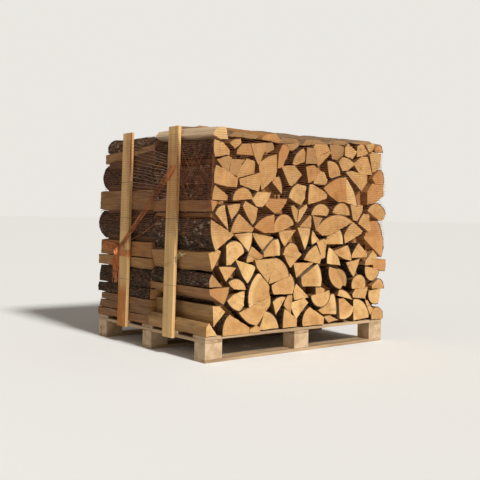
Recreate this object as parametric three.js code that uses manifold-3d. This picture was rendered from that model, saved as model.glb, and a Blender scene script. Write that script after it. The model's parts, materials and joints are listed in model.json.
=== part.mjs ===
// A pallet load of split firewood, held by two battens and a knitted net.
// Millimetres. Origin at the middle of the pallet's underside, +Z up. The sawn log ends of the
// front row face -Y, and the battens stand on the -X side.

import * as THREE from 'three';
import * as BufferGeometryUtils from 'three/addons/utils/BufferGeometryUtils.js';
import Module from 'manifold-3d';

const wasm = await Module();
wasm.setup();

// --- Driving dimensions ---

const PALLET_LENGTH = 1200;
const PALLET_WIDTH = 1000;
const BOARD_WIDTH = 98;
const BOARD_THICK = 15;
const BLOCK_LENGTH = 98;
const BLOCK_WIDTH = 85;
const BLOCK_HEIGHT = 75;
const DECK_BOARDS = 5;

const BATTEN_WIDTH = 86;
const BATTEN_THICK = 17;
const BATTEN_LENGTH = 1016;
const BATTEN_FOOT = 84;
const BATTEN_GAP = 1;
const BATTEN_LEAN = Math.asin(26 / BATTEN_LENGTH);
const BATTENS = { near: -209, far: 228 };

const FRONT_END = -505;
const SEAM = -17;
const SEAM_GAP = 4;
const REAR_END = 505;
const TOP_BED = 1029;
const BED_RISE = 56;
const REAR_CROWN = 40;
const CLEARANCE = 1.04;
const ARC_STEPS = 6;

const NET_FOOT = 580;
const NET_HEIGHT = 482;
const NET_THICK = 2;
const ROPE_RADIUS = 7;

// --- The logs ---
// A log's sawn end is a list of corners [x, z] in clockwise order as seen from the front. The bark
// runs from the last corner back to the first, and swells out by `bark` between them.

// Left side of the front row, from the deck up. The first number is how far the end stands out.
const LEFT_FRONT = {
  log_front_01: [0, 0, [[-598, 122], [-598, 166], [-584, 184], [-532, 122]]],
  log_front_02: [-12, 0, [[-555, 258], [-515, 255], [-480, 228], [-550, 163]]],
  log_front_03: [4, 6, [[-497, 262], [-585, 312], [-590, 339], [-468, 343]]],
  log_front_04: [2, 0, [[-586, 344], [-584, 395], [-575, 408], [-512, 348]]],
  log_front_05: [-3, 6, [[-568, 419], [-588, 500], [-535, 517], [-516, 508]]],
  log_front_06: [5, 11, [[-584, 655], [-452, 585], [-560, 512]]],
  log_front_07: [-25, 0, [[-582, 664], [-580, 682], [-552, 683], [-496, 632]]],
  log_front_08: [0, 0, [[-582, 742], [-540, 736], [-575, 694]]],
  log_front_09: [3, 4, [[-568, 812], [-490, 766], [-493, 745], [-580, 746]]],
  log_front_10: [6, 6, [[-566, 905], [-510, 885], [-431, 846], [-437, 808], [-490, 808], [-574, 822]]],
  log_front_11: [1, 6, [[-570, 1020], [-515, 1006], [-478, 973], [-480, 955], [-564, 940]]],
};

// Left side of the rear row, from the deck up.
const LEFT_REAR = {
  log_rear_01: [10, 0, [[-598, 122], [-598, 161], [-492, 150], [-482, 122]]],
  log_rear_02: [-2, 0, [[-596, 166], [-590, 204], [-497, 192], [-487, 156]]],
  log_rear_03: [-18, 0, [[-594, 209], [-592, 243], [-505, 240], [-492, 198]]],
  log_rear_04: [20, 2, [[-592, 298], [-495, 291], [-500, 246], [-594, 249]]],
  log_rear_05: [12, 5, [[-582, 393], [-480, 345], [-492, 298], [-590, 304]]],
  log_rear_06: [26, 0, [[-590, 399], [-589, 451], [-490, 447], [-478, 400], [-500, 394]]],
  log_rear_07: [3, 0, [[-588, 457], [-584, 532], [-522, 538], [-480, 454]]],
  log_rear_08: [28, 38, [[-556, 690], [-470, 640], [-470, 562], [-540, 542]]],
  log_rear_09: [20, 0, [[-583, 704], [-580, 795], [-482, 780], [-472, 702], [-556, 697]]],
  log_rear_10: [2, 38, [[-545, 940], [-470, 900], [-470, 822], [-535, 802]]],
  log_rear_11: [-20, 0, [[-577, 948], [-575, 998], [-482, 985], [-474, 944]]],
  log_rear_12: [-40, 48, [[-476, 1040], [-480, 992], [-573, 1004]]],
};

// The loose slabs laid along the top of the front row, from left to right. The second number is how
// far the rear end is raised above the front one.
const TOP_FRONT = {
  log_top_1: [-2, 20, [[-572, 1042], [-555, 1068], [-502, 1080], [-488, 1024], [-530, 1022]]],
  log_top_2: [-15, 64, [[-470, 1040], [-440, 1064], [-380, 1066], [-300, 1058], [-312, 1038]]],
  log_top_3: [-5, 73, [[-285, 1040], [-262, 1062], [-200, 1072], [-165, 1046], [-172, 1031]]],
  log_top_4: [-25, 86, [[-155, 1034], [-140, 1058], [-45, 1060], [-10, 1036]]],
  log_top_5: [-20, 82, [[-2, 1032], [22, 1060], [110, 1066], [165, 1050]]],
  log_top_6: [-18, 77, [[172, 1050], [200, 1068], [290, 1072], [330, 1058]]],
  log_top_7: [-10, 64, [[345, 1068], [430, 1084], [470, 1086], [505, 1076], [440, 1064]]],
  log_top_8: [0, 72, [[580, 1030], [514, 1034], [509, 1048], [550, 1072]]],
};

// The log ends inside the two rows stand in one block each, out to their tips.
const CORE_TOP = 1150;
const FRONT_CORE = [
  [-505, 122], [-505, 995], [-484, 1010], [-484, CORE_TOP], [568, CORE_TOP], [566, 1021],
  [562, 952], [592, 925], [596, 800], [570, 782], [604, 730], [605, 690], [566, 656], [598, 576],
  [610, 530], [588, 463], [560, 452], [627, 446], [623, 387], [576, 380], [568, 343], [596, 328],
  [614, 290], [573, 284], [545, 192], [575, 190], [597, 165], [595, 122],
];
const REAR_CORE = [
  [-467, 122], [-467, CORE_TOP], [572, CORE_TOP], [574, 980], [586, 660], [590, 340], [598, 160], [598, 122],
];

// --- Materials ---

const ROUGH = 0.85;
const COLOURS = {
  pallet: 0xc4a274,
  batten: 0xc9a468,
  log: 0xa97c4c,
  core: 0xc79a5e,
  net: 0xb4572a,
  twine: 0xd8c06a,
};

// --- Helpers ---

const group = new THREE.Group();

function add(name, geometry, colour) {
  const material = new THREE.MeshStandardMaterial({ color: colour, roughness: ROUGH, metalness: 0 });
  const mesh = new THREE.Mesh(geometry, material);
  mesh.name = name;
  group.add(mesh);
  return mesh;
}

function box(name, size, centre, colour) {
  const mesh = add(name, new THREE.BoxGeometry(...size), colour);
  mesh.position.set(...centre);
  return mesh;
}

// Points along the bark, on the arc from the end's last corner to its first.
function barkArc(corners, bark) {
  const from = new THREE.Vector2(...corners.at(-1));
  const to = new THREE.Vector2(...corners[0]);
  const along = to.clone().sub(from).normalize();
  const outward = new THREE.Vector2(-along.y, along.x);
  const half = from.distanceTo(to) / 2;
  const radius = (half * half + bark * bark) / (2 * bark);
  const centre = from.add(to).multiplyScalar(0.5).addScaledVector(outward, bark - radius);
  const reach = Math.atan2(half, radius - bark);
  const points = [];
  for (let step = 1; step < ARC_STEPS; step += 1) {
    const angle = reach * (2 * step / ARC_STEPS - 1);
    points.push(centre.clone()
      .addScaledVector(along, radius * Math.sin(angle))
      .addScaledVector(outward, radius * Math.cos(angle)));
  }
  return points;
}

function endOutline(corners, bark, scale = 1) {
  const points = corners.map((corner) => new THREE.Vector2(...corner));
  if (bark > 0) points.push(...barkArc(corners, bark));
  const middle = points.reduce((sum, point) => sum.add(point), new THREE.Vector2());
  middle.divideScalar(points.length);
  return points.map((point) => point.clone().sub(middle).multiplyScalar(scale).add(middle));
}

// A prism whose section is drawn in X and Z and which runs along Y.
function prism(points, start, end) {
  const options = { depth: end - start, bevelEnabled: false };
  const geometry = new THREE.ExtrudeGeometry(new THREE.Shape(points), options);
  return geometry.rotateX(Math.PI / 2).translate(0, end, 0);
}

// A prism whose section is drawn in X and Y and which stands up from the ground.
function prismUp(plan) {
  const shape = new THREE.Shape(plan.map((corner) => new THREE.Vector2(...corner)));
  return new THREE.ExtrudeGeometry(shape, { depth: NET_HEIGHT, bevelEnabled: false });
}

// Lays a piece of the top on the slope that rises from the front edge to the seam.
function raise(geometry, rise) {
  const slope = Math.atan2(rise, SEAM - FRONT_END);
  return geometry.translate(0, -FRONT_END, -TOP_BED).rotateX(slope).translate(0, FRONT_END, TOP_BED);
}

function toSolid(geometry) {
  const bare = geometry.clone();
  bare.deleteAttribute('normal');
  bare.deleteAttribute('uv');
  const merged = BufferGeometryUtils.mergeVertices(bare, 1e-4);
  return new wasm.Manifold(new wasm.Mesh({
    numProp: 3,
    vertProperties: merged.attributes.position.array,
    triVerts: merged.index.array,
  }));
}

function toGeometry(solid) {
  const { vertProperties, triVerts } = solid.getMesh();
  const geometry = new THREE.BufferGeometry();
  geometry.setAttribute('position', new THREE.BufferAttribute(vertProperties, 3));
  geometry.setIndex(new THREE.BufferAttribute(triVerts, 1));
  const flat = geometry.toNonIndexed();
  flat.computeVertexNormals();
  return flat;
}

// --- Pallet: bottom boards, blocks, stringers across them, and the deck ---

const SIDES = ['left', 'middle', 'right'];
const DEPTHS = ['front', 'middle', 'rear'];
const columnX = (PALLET_LENGTH - BLOCK_LENGTH) / 2;
const rowY = (PALLET_WIDTH - BLOCK_WIDTH) / 2;
const blockZ = BOARD_THICK + BLOCK_HEIGHT / 2;
const stringerZ = BOARD_THICK * 1.5 + BLOCK_HEIGHT;
const deckZ = stringerZ + BOARD_THICK;
const deckPitch = (PALLET_WIDTH - BOARD_WIDTH) / (DECK_BOARDS - 1);

for (const [row, depth] of DEPTHS.entries()) {
  const y = (row - 1) * rowY;
  const board = [PALLET_LENGTH, BLOCK_WIDTH, BOARD_THICK];
  box(`bottom_board_${depth}`, board, [0, y, BOARD_THICK / 2], COLOURS.pallet);
  for (const [column, side] of SIDES.entries()) {
    const x = (column - 1) * columnX;
    box(`block_${depth}_${side}`, [BLOCK_LENGTH, BLOCK_WIDTH, BLOCK_HEIGHT], [x, y, blockZ], COLOURS.pallet);
  }
}
for (const [column, side] of SIDES.entries()) {
  const x = (column - 1) * columnX;
  box(`stringer_${side}`, [BLOCK_LENGTH, PALLET_WIDTH, BOARD_THICK], [x, 0, stringerZ], COLOURS.pallet);
}
for (let board = 0; board < DECK_BOARDS; board += 1) {
  const y = (board - (DECK_BOARDS - 1) / 2) * deckPitch;
  box(`deck_board_${board + 1}`, [PALLET_LENGTH, BOARD_WIDTH, BOARD_THICK], [0, y, deckZ], COLOURS.pallet);
}

// --- Battens: nailed to the ends of the deck boards, leaning in with the stack ---

for (const [place, y] of Object.entries(BATTENS)) {
  const geometry = new THREE.BoxGeometry(BATTEN_THICK, BATTEN_WIDTH, BATTEN_LENGTH);
  geometry.translate(-BATTEN_THICK / 2, 0, BATTEN_LENGTH / 2);
  const batten = add(`batten_${place}`, geometry, COLOURS.batten);
  batten.position.set(-PALLET_LENGTH / 2 - BATTEN_GAP, y, BATTEN_FOOT);
  batten.rotation.y = BATTEN_LEAN;
}

// --- Logs that show on their own, and the two blocks of log ends behind them ---

const clearances = [];

for (const [name, [out, bark, corners]] of Object.entries(LEFT_FRONT)) {
  add(name, prism(endOutline(corners, bark), FRONT_END - out, SEAM), COLOURS.log);
  clearances.push(prism(endOutline(corners, bark, CLEARANCE), FRONT_END - 50, SEAM + 50));
}
for (const [name, [out, bark, corners]] of Object.entries(LEFT_REAR)) {
  add(name, prism(endOutline(corners, bark), SEAM + SEAM_GAP, REAR_END + out), COLOURS.log);
}
for (const [name, [out, rise, corners]] of Object.entries(TOP_FRONT)) {
  add(name, raise(prism(endOutline(corners, 0), FRONT_END - out, SEAM), rise), COLOURS.log);
}

const aboveFront = raise(new THREE.BoxGeometry(1400, 1400, 400).translate(0, 0, TOP_BED + 199), BED_RISE);
const aboveRear = aboveFront.clone().rotateZ(Math.PI).translate(0, SEAM, REAR_CROWN);
const frontCore = clearances.reduce(
  (core, clearance) => core.subtract(toSolid(clearance)),
  toSolid(prism(FRONT_CORE.map((corner) => new THREE.Vector2(...corner)), FRONT_END, SEAM)),
).subtract(toSolid(aboveFront));
const rearCore = toSolid(
  prism(REAR_CORE.map((corner) => new THREE.Vector2(...corner)), SEAM + SEAM_GAP, REAR_END),
).subtract(toSolid(aboveRear));
add('logs_front_inner', toGeometry(frontCore), COLOURS.core);
add('logs_rear_inner', toGeometry(rearCore), COLOURS.core);

// --- Net: a thin sleeve round the upper half, drawn tight over the battens ---

const NET_PLAN = [
  [-590, -515], [-606.5, -255], [-606.5, 275], [-590, 536], [604, 536], [616, 300], [616, -515],
];
const netInside = prismUp(NET_PLAN);
const netOutside = prismUp(NET_PLAN.map(([x, y]) => [
  x + Math.sign(x) * NET_THICK,
  y + (Math.abs(y) > PALLET_WIDTH / 2 ? Math.sign(y) * NET_THICK : 0),
]));
const hollow = netInside.scale(1, 1, 2).translate(0, 0, -NET_HEIGHT / 2);
const sleeve = toSolid(netOutside).subtract(toSolid(hollow));
add('net', toGeometry(sleeve.translate(0, 0, NET_FOOT)), COLOURS.net);

// --- The net's gathered end: a rope down to a knot at the far batten, and its frayed tail ---

const ropeStart = new THREE.Vector3(-617, -225, 900);
const knotCentre = new THREE.Vector3(-606, 296, 478);
const ropeEnd = new THREE.Vector3(-617, 288, 486);
const tailEnd = new THREE.Vector3(-603, 346, 312);

function taper(from, to, radiusFrom, radiusTo) {
  const length = from.distanceTo(to);
  const geometry = new THREE.CylinderGeometry(radiusTo, radiusFrom, length, 10);
  const turn = new THREE.Quaternion().setFromUnitVectors(
    new THREE.Vector3(0, 1, 0),
    to.clone().sub(from).normalize(),
  );
  const middle = from.clone().add(to).multiplyScalar(0.5);
  return geometry.applyQuaternion(turn).translate(middle.x, middle.y, middle.z);
}

const knot = new THREE.SphereGeometry(1, 12, 8).scale(14, 19, 24).translate(...knotCentre.toArray());
const tie = toSolid(knot)
  .add(toSolid(taper(ropeStart, ropeEnd, ROPE_RADIUS, ROPE_RADIUS)))
  .add(toSolid(taper(knotCentre, tailEnd, 6, 10)));
add('net_tie', toGeometry(tie), COLOURS.net);

// --- A short length of thin twine across the near batten ---

const twineStart = new THREE.Vector3(-613, -252, 492);
const twineEnd = new THREE.Vector3(-613, -164, 424);
add('twine', taper(twineStart, twineEnd, 1.5, 1.5), COLOURS.twine);

export default group;
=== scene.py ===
# %% [markdown]
# # A pallet of netted firewood
# Split logs lie in two rows on a flat wooden pallet. Two battens nailed to its left side stop the rows
# from rolling off, and a fine knitted net is drawn tight round the upper half and tied off in a knot.
# We start from the finished CAD solids, so every piece made here goes exactly where its solid is.

# %% Load the frame
import json
import math
import random

import bmesh
import bpy
import numpy as np
from mathutils import Euler, Matrix, Vector

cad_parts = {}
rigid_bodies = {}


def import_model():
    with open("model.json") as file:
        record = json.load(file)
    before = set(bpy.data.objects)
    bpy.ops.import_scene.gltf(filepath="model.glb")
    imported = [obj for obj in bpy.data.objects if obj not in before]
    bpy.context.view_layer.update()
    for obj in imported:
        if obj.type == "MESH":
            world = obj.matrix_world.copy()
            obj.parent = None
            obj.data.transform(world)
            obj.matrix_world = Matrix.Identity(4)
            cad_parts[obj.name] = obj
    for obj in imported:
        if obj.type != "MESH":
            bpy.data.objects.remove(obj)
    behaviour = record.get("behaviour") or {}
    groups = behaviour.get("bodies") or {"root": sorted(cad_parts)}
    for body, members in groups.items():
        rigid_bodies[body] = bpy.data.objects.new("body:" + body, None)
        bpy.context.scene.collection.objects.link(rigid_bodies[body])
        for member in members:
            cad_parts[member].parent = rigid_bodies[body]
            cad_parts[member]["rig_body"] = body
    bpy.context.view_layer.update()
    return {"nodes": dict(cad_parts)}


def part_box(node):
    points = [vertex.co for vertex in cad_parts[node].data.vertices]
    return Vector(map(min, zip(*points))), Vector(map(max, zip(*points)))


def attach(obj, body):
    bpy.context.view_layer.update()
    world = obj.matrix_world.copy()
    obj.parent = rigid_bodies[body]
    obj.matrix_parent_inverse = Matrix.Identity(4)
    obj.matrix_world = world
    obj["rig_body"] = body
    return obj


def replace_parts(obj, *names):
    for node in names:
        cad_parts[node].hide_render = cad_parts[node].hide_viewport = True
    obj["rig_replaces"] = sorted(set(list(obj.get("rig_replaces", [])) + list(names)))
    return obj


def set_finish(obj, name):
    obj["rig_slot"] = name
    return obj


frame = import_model()
print("CAD solids:", len(frame["nodes"]))

# %% [markdown]
# The camera comes first, so that every look is judged from the same place. It stands about a metre to
# the left of the front row's middle and four metres off, a little above half the load's height. A 57 mm
# lens keeps the pallet's lines nearly straight. The slight roll is that of a camera held in the hand.

# %% Camera
CAMERA_PLACE = (-2.6321, -3.2769, 0.6679)
YAW, PITCH, ROLL = math.radians(38.708), math.radians(-1.72), math.radians(0.885)
SENSOR_MM, LENS_MM = 36, 57.1
bpy.ops.object.camera_add(location=CAMERA_PLACE)
camera = bpy.context.object
aim = Euler((math.pi / 2 + PITCH, 0, -YAW)).to_matrix() @ Matrix.Rotation(ROLL, 3, "Z")
camera.rotation_euler = aim.to_euler()
camera.data.sensor_width = SENSOR_MM
camera.data.lens = LENS_MM
bpy.context.scene.camera = camera
print("camera at", tuple(camera.location))

# %% [markdown]
# Sawn wood looks right under one broad, warm key light from the front and a dim, even sky. A sun
# lamp with a wide angle lights the log ends evenly and softly, and the left side stays a clear step
# darker. The gaps between the logs fall dark by themselves, because little light finds its way in.
# The dim sky would make a dark picture behind the load, so the camera alone sees a pale backdrop.

# %% Sky and backdrop
SKY_COLOUR, SKY_STRENGTH = (1.0, 0.89, 0.76, 1.0), 0.21
BACKDROP_COLOUR = (0.825, 0.802, 0.760, 1.0)
scene = bpy.context.scene
scene.view_settings.view_transform = "Standard"
world = bpy.data.worlds.new("studio")
world.use_nodes = True
nodes, links = world.node_tree.nodes, world.node_tree.links
sky = nodes["Background"]
sky.inputs["Color"].default_value = SKY_COLOUR
sky.inputs["Strength"].default_value = SKY_STRENGTH
backdrop = nodes.new("ShaderNodeBackground")
backdrop.inputs["Color"].default_value = BACKDROP_COLOUR
seen = nodes.new("ShaderNodeLightPath")
choose = nodes.new("ShaderNodeMixShader")
links.new(seen.outputs["Is Camera Ray"], choose.inputs[0])
links.new(sky.outputs[0], choose.inputs[1])
links.new(backdrop.outputs[0], choose.inputs[2])
links.new(choose.outputs[0], nodes["World Output"].inputs[0])
scene.world = world
print("sky strength:", SKY_STRENGTH)

# %% Lamps and floor


def lamp(kind, name, place, strength, colour):
    """A lamp that stands at this place and shines towards the origin."""
    bpy.ops.object.light_add(type=kind, location=place)
    light = bpy.context.object
    light.name = name
    light.rotation_euler = (-Vector(place)).to_track_quat("-Z", "Y").to_euler()
    light.data.energy = strength
    light.data.color = colour
    return light


key = lamp("SUN", "key", place=(-0.05, -3.8, 2.9), strength=3.45, colour=(1.0, 0.955, 0.88))
key.data.angle = math.radians(9)
fill = lamp("AREA", "fill from the left", place=(-4.5, -0.6, 1.6), strength=9, colour=(1.0, 0.96, 0.92))
fill.data.size = 3
bpy.ops.mesh.primitive_plane_add(size=400, location=(0, 0, 0))
floor = bpy.context.object
floor.name = "floor"
paint = bpy.data.materials.new("white floor")
paint.use_nodes = True
coat = paint.node_tree.nodes["Principled BSDF"].inputs
coat["Base Color"].default_value = (0.93, 0.965, 1.0, 1)
coat["Roughness"].default_value = 0.95
coat["Specular IOR Level"].default_value = 0.1
floor.data.materials.append(paint)
print("lights and floor ready")

# %% [markdown]
# ## Finishes
# Every wood here is built from the same few nodes, so one small helper adds a node and wires it up.
# Each log carries two colour attributes of its own. `tone` holds how pale, how orange and how grey
# it is, and a random number. `trunk` holds the radius of the trunk that it was split from, its
# lichen, its band of sapwood, and how much light its split faces keep. Below 1, that value is painted
# shade, like the shade in the gaps of the stack. All the logs share three materials.

# %% Node helpers


def add_node(tree, kind, wires=None, **settings):
    """Adds a node, sets its properties, and wires or sets its inputs."""
    node = tree.nodes.new(kind)
    for key, value in settings.items():
        setattr(node, key, value)
    for key, value in (wires or {}).items():
        if isinstance(value, bpy.types.NodeSocket):
            tree.links.new(value, node.inputs[key])
        else:
            node.inputs[key].default_value = value
    return node


def math_node(tree, operation, first, second=0.5):
    """Sums and products of values. The second one is not used by some operations."""
    return add_node(tree, "ShaderNodeMath", {0: first, 1: second}, operation=operation).outputs[0]


def times(tree, first, second):
    return math_node(tree, "MULTIPLY", first, second)


def mix(tree, share, first, second):
    """The first colour where the share is 0, and the second where it is 1."""
    node = add_node(tree, "ShaderNodeMix", data_type="RGBA", blend_type="MIX")
    for index, value in ((0, share), (6, first), (7, second)):
        if isinstance(value, bpy.types.NodeSocket):
            tree.links.new(value, node.inputs[index])
        else:
            node.inputs[index].default_value = value if index == 0 else (*value, 1)
    return node.outputs[2]


def stain(tree, share, colour, towards, depth):
    """Takes the colour part of the way towards another one, where the share says so."""
    return mix(tree, share, colour, mix(tree, depth, colour, towards))


def steps(tree, value, low, high):
    """Spreads what lies between low and high over 0 to 1, with soft ends."""
    node = add_node(tree, "ShaderNodeMapRange", {0: value, 1: low, 2: high})
    node.interpolation_type = "SMOOTHSTEP"
    return node.outputs[0]


def noise(tree, vector, scale, detail=3.0, roughness=0.6):
    wires = {"Vector": vector, "Scale": scale, "Detail": detail, "Roughness": roughness}
    return add_node(tree, "ShaderNodeTexNoise", wires).outputs[0]


def stretched(tree, vector, scale, offset=None):
    """Scales the space of a pattern. A small scale along an axis draws the pattern out along it."""
    node = add_node(tree, "ShaderNodeMapping", {"Vector": vector, "Scale": scale})
    if offset is not None:
        tree.links.new(offset, node.inputs["Location"])
    return node.outputs[0]


def attribute(tree, name):
    """The colour and the fourth value of a log's own attribute."""
    node = add_node(tree, "ShaderNodeAttribute", attribute_name=name)
    return node.outputs["Color"], node.outputs["Alpha"]


def split_channels(tree, colour):
    return add_node(tree, "ShaderNodeSeparateColor", {0: colour}).outputs


def new_material(name, roughness):
    """A material, its node tree, and its shader."""
    material = bpy.data.materials.new(name)
    material.use_nodes = True
    tree = material.node_tree
    shader = tree.nodes["Principled BSDF"]
    shader.inputs["Roughness"].default_value = roughness
    shader.inputs["Specular IOR Level"].default_value = 0.25
    return material, tree, shader


def bump(tree, shader, height, strength, distance):
    """Makes the surface look raised where the height is large. Distance is in metres."""
    wires = {"Height": height, "Strength": strength, "Distance": distance}
    node = add_node(tree, "ShaderNodeBump", wires)
    tree.links.new(node.outputs[0], shader.inputs["Normal"])


print("node helpers ready")

# %% [markdown]
# A sawn end shows growth rings round the heart of the trunk, a paler band of sapwood, the bark as a
# dark rim, and a few drying cracks that run out from the heart. The rings could be a picture, but here
# each log's UV map holds the distance from its heart in metres, so the rings are worked out from that.

# %% Sawn end
BARK_THICK = 0.0045


def sawn_end():
    material, tree, shader = new_material("sawn end", 0.8)
    shade, chance = attribute(tree, "tone")
    pale, orange, grey = split_channels(tree, shade)[:3]
    radius, _, sapwood = split_channels(tree, attribute(tree, "trunk")[0])[:3]
    heart = add_node(tree, "ShaderNodeUVMap", uv_map="grain").outputs[0]
    seed = times(tree, chance, 40.0)
    offset = add_node(tree, "ShaderNodeCombineXYZ", {"Z": seed}).outputs[0]
    place = add_node(tree, "ShaderNodeVectorMath", {0: heart, 1: offset}, operation="ADD").outputs[0]
    length = add_node(tree, "ShaderNodeVectorMath", {0: heart}, operation="LENGTH").outputs["Value"]
    wobble = times(tree, noise(tree, place, 18.0, 2.0), 0.012)
    across = math_node(tree, "ADD", length, wobble)
    ring_place = add_node(tree, "ShaderNodeCombineXYZ", {"X": across, "Z": seed}).outputs[0]
    broad = noise(tree, ring_place, 95.0, 2.0)
    fine = noise(tree, ring_place, 420.0, 1.0)
    parts = add_node(tree, "ShaderNodeSeparateXYZ", {0: heart}).outputs
    angle = math_node(tree, "ARCTAN2", parts[1], parts[0])
    spokes = add_node(tree, "ShaderNodeCombineXYZ", {"X": angle, "Y": seed}).outputs[0]
    rays = noise(tree, spokes, 4.0, 3.0, 0.7)
    crack = math_node(tree, "ABSOLUTE", math_node(tree, "SUBTRACT", rays, 0.47))
    crack = math_node(tree, "SUBTRACT", 1.0, steps(tree, crack, 0.0, 0.013))
    crack = times(tree, crack, steps(tree, noise(tree, place, 26.0, 1.0), 0.45, 0.62))
    blotch = noise(tree, place, 22.0, 4.0, 0.65)
    saw = noise(tree, stretched(tree, place, (60, 900, 1)), 1.0, 1.0)

    colour = mix(tree, pale, (0.47, 0.245, 0.085), (0.76, 0.50, 0.215))
    colour = mix(tree, orange, colour, (0.52, 0.20, 0.055))
    colour = mix(tree, grey, colour, (0.26, 0.165, 0.085))
    ring = mix(tree, 0.30, colour, (0.33, 0.13, 0.035))
    colour = mix(tree, steps(tree, broad, 0.35, 0.66), ring, colour)
    ring = mix(tree, 0.16, colour, (0.30, 0.14, 0.05))
    colour = mix(tree, steps(tree, fine, 0.40, 0.60), ring, colour)
    colour = stain(tree, steps(tree, blotch, 0.42, 0.68), colour, (0.38, 0.165, 0.05), 0.50)
    colour = mix(tree, times(tree, steps(tree, saw, 0.5, 0.62), 0.12), colour, (0.30, 0.16, 0.07))
    share = math_node(tree, "DIVIDE", across, math_node(tree, "MAXIMUM", radius, 0.001))
    band = times(tree, steps(tree, share, 0.70, 0.92), sapwood)
    colour = mix(tree, times(tree, band, 0.6), colour, (0.78, 0.55, 0.26))
    colour = mix(tree, times(tree, crack, 0.75), colour, (0.10, 0.045, 0.018))
    has_bark = math_node(tree, "GREATER_THAN", radius, 0.002)
    past_wood = math_node(tree, "SUBTRACT", length, math_node(tree, "SUBTRACT", radius, BARK_THICK))
    rim = times(tree, steps(tree, past_wood, -0.001, 0.0015), has_bark)
    colour = mix(tree, rim, colour, (0.075, 0.035, 0.018))
    tree.links.new(colour, shader.inputs["Base Color"])
    bump(tree, shader, math_node(tree, "SUBTRACT", fine, crack), 0.35, 0.001)
    return material


SAWN_END = sawn_end()
print("sawn end:", len(SAWN_END.node_tree.nodes), "nodes")

# %% [markdown]
# A split face is torn along the fibres, so everything on it is drawn out along the log: pale streaks,
# darker veins and fine ridges. Noise on the object's coordinates, squeezed across and stretched along
# the log, gives that in one step, and it never shows a seam. Old splits go grey-brown, and the outer
# wood of a slab is bleached.

# %% Split face


def split_face():
    material, tree, shader = new_material("split wood", 0.82)
    shade, chance = attribute(tree, "tone")
    pale, orange, grey = split_channels(tree, shade)[:3]
    trunk, side_light = attribute(tree, "trunk")
    sapwood = split_channels(tree, trunk)[2]
    place = add_node(tree, "ShaderNodeTexCoord").outputs["Object"]
    offset = add_node(tree, "ShaderNodeCombineXYZ", {"X": chance, "Y": chance, "Z": chance}).outputs[0]
    veins = noise(tree, stretched(tree, place, (30, 4.5, 30), offset), 1.0, 4.0, 0.6)
    fibres = noise(tree, stretched(tree, place, (190, 7, 190), offset), 1.0, 3.0, 0.6)
    stains = noise(tree, stretched(tree, place, (9, 3, 9), offset), 1.0, 3.0)
    colour = mix(tree, pale, (0.25, 0.115, 0.042), (0.56, 0.33, 0.13))
    colour = mix(tree, orange, colour, (0.46, 0.17, 0.042))
    colour = mix(tree, grey, colour, (0.24, 0.175, 0.115))
    colour = stain(tree, steps(tree, veins, 0.40, 0.66), colour, (0.15, 0.065, 0.028), 0.50)
    colour = stain(tree, steps(tree, fibres, 0.46, 0.66), colour, (0.80, 0.58, 0.33), 0.20)
    colour = stain(tree, steps(tree, stains, 0.52, 0.72), colour, (0.30, 0.11, 0.04), 0.4)
    bleached = times(tree, steps(tree, sapwood, 0.5, 0.8), 0.55)
    colour = mix(tree, bleached, colour, (0.80, 0.66, 0.47))
    # Painted shade: the split faces go towards near black by the log's fourth trunk value, standing for
    # the shade deep in the stack.
    colour = mix(tree, side_light, (0.075, 0.032, 0.014), colour)
    tree.links.new(colour, shader.inputs["Base Color"])
    bump(tree, shader, math_node(tree, "ADD", veins, fibres), 0.55, 0.003)
    return material


SPLIT_FACE = split_face()
print("split face:", len(SPLIT_FACE.node_tree.nodes), "nodes")

# %% [markdown]
# The bark is nearly black in its furrows and red-brown on its ridges, and some logs carry patches of
# grey-white lichen. A cell pattern stretched along the log makes the plates of the bark. The lichen
# is a noise cut off at a height that the log's own attribute sets.

# %% Bark


def bark_skin():
    material, tree, shader = new_material("bark", 0.92)
    lichen = split_channels(tree, attribute(tree, "trunk")[0])[1]
    _, chance = attribute(tree, "tone")
    place = add_node(tree, "ShaderNodeTexCoord").outputs["Object"]
    offset = add_node(tree, "ShaderNodeCombineXYZ", {"X": chance, "Y": chance, "Z": chance}).outputs[0]
    bend = noise(tree, stretched(tree, place, (20, 9, 20), offset), 1.0, 2.0)
    wires = {"Vector": place, "Scale": 60.0, "Detail": 2.0}
    warp = add_node(tree, "ShaderNodeTexNoise", wires).outputs[1]
    warp = add_node(tree, "ShaderNodeVectorMath", {0: warp, 3: 0.028}, operation="SCALE").outputs[0]
    bent = add_node(tree, "ShaderNodeVectorMath", {0: place, 1: warp}, operation="ADD").outputs[0]
    wires = {"Vector": stretched(tree, bent, (75, 20, 75), offset), "Scale": 1.0, "Randomness": 1.0}
    plates = add_node(tree, "ShaderNodeTexVoronoi", wires, feature="DISTANCE_TO_EDGE").outputs[0]
    rough = noise(tree, stretched(tree, place, (90, 30, 90), offset), 1.0, 4.0, 0.7)
    patch = noise(tree, stretched(tree, place, (30, 20, 30), offset), 1.0, 6.0, 0.75)
    colour = mix(tree, steps(tree, rough, 0.35, 0.65), (0.034, 0.018, 0.010), (0.165, 0.088, 0.045))
    colour = mix(tree, steps(tree, bend, 0.52, 0.72), colour, (0.17, 0.075, 0.036))
    colour = mix(tree, steps(tree, plates, 0.0, 0.16), (0.016, 0.009, 0.006), colour)
    cover = math_node(tree, "SUBTRACT", 0.76, times(tree, lichen, 0.22))
    spots = times(tree, steps(tree, math_node(tree, "SUBTRACT", patch, cover), 0.0, 0.05), 0.75)
    spots = times(tree, spots, steps(tree, rough, 0.42, 0.55))
    colour = mix(tree, spots, colour, (0.42, 0.36, 0.26))
    tree.links.new(colour, shader.inputs["Base Color"])
    height = math_node(tree, "ADD", steps(tree, plates, 0.0, 0.3), rough)
    bump(tree, shader, height, 0.9, 0.006)
    return material


BARK = bark_skin()
LOG_FINISHES = [SAWN_END, SPLIT_FACE, BARK]
print("log finishes:", [m.name for m in LOG_FINISHES])

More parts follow.
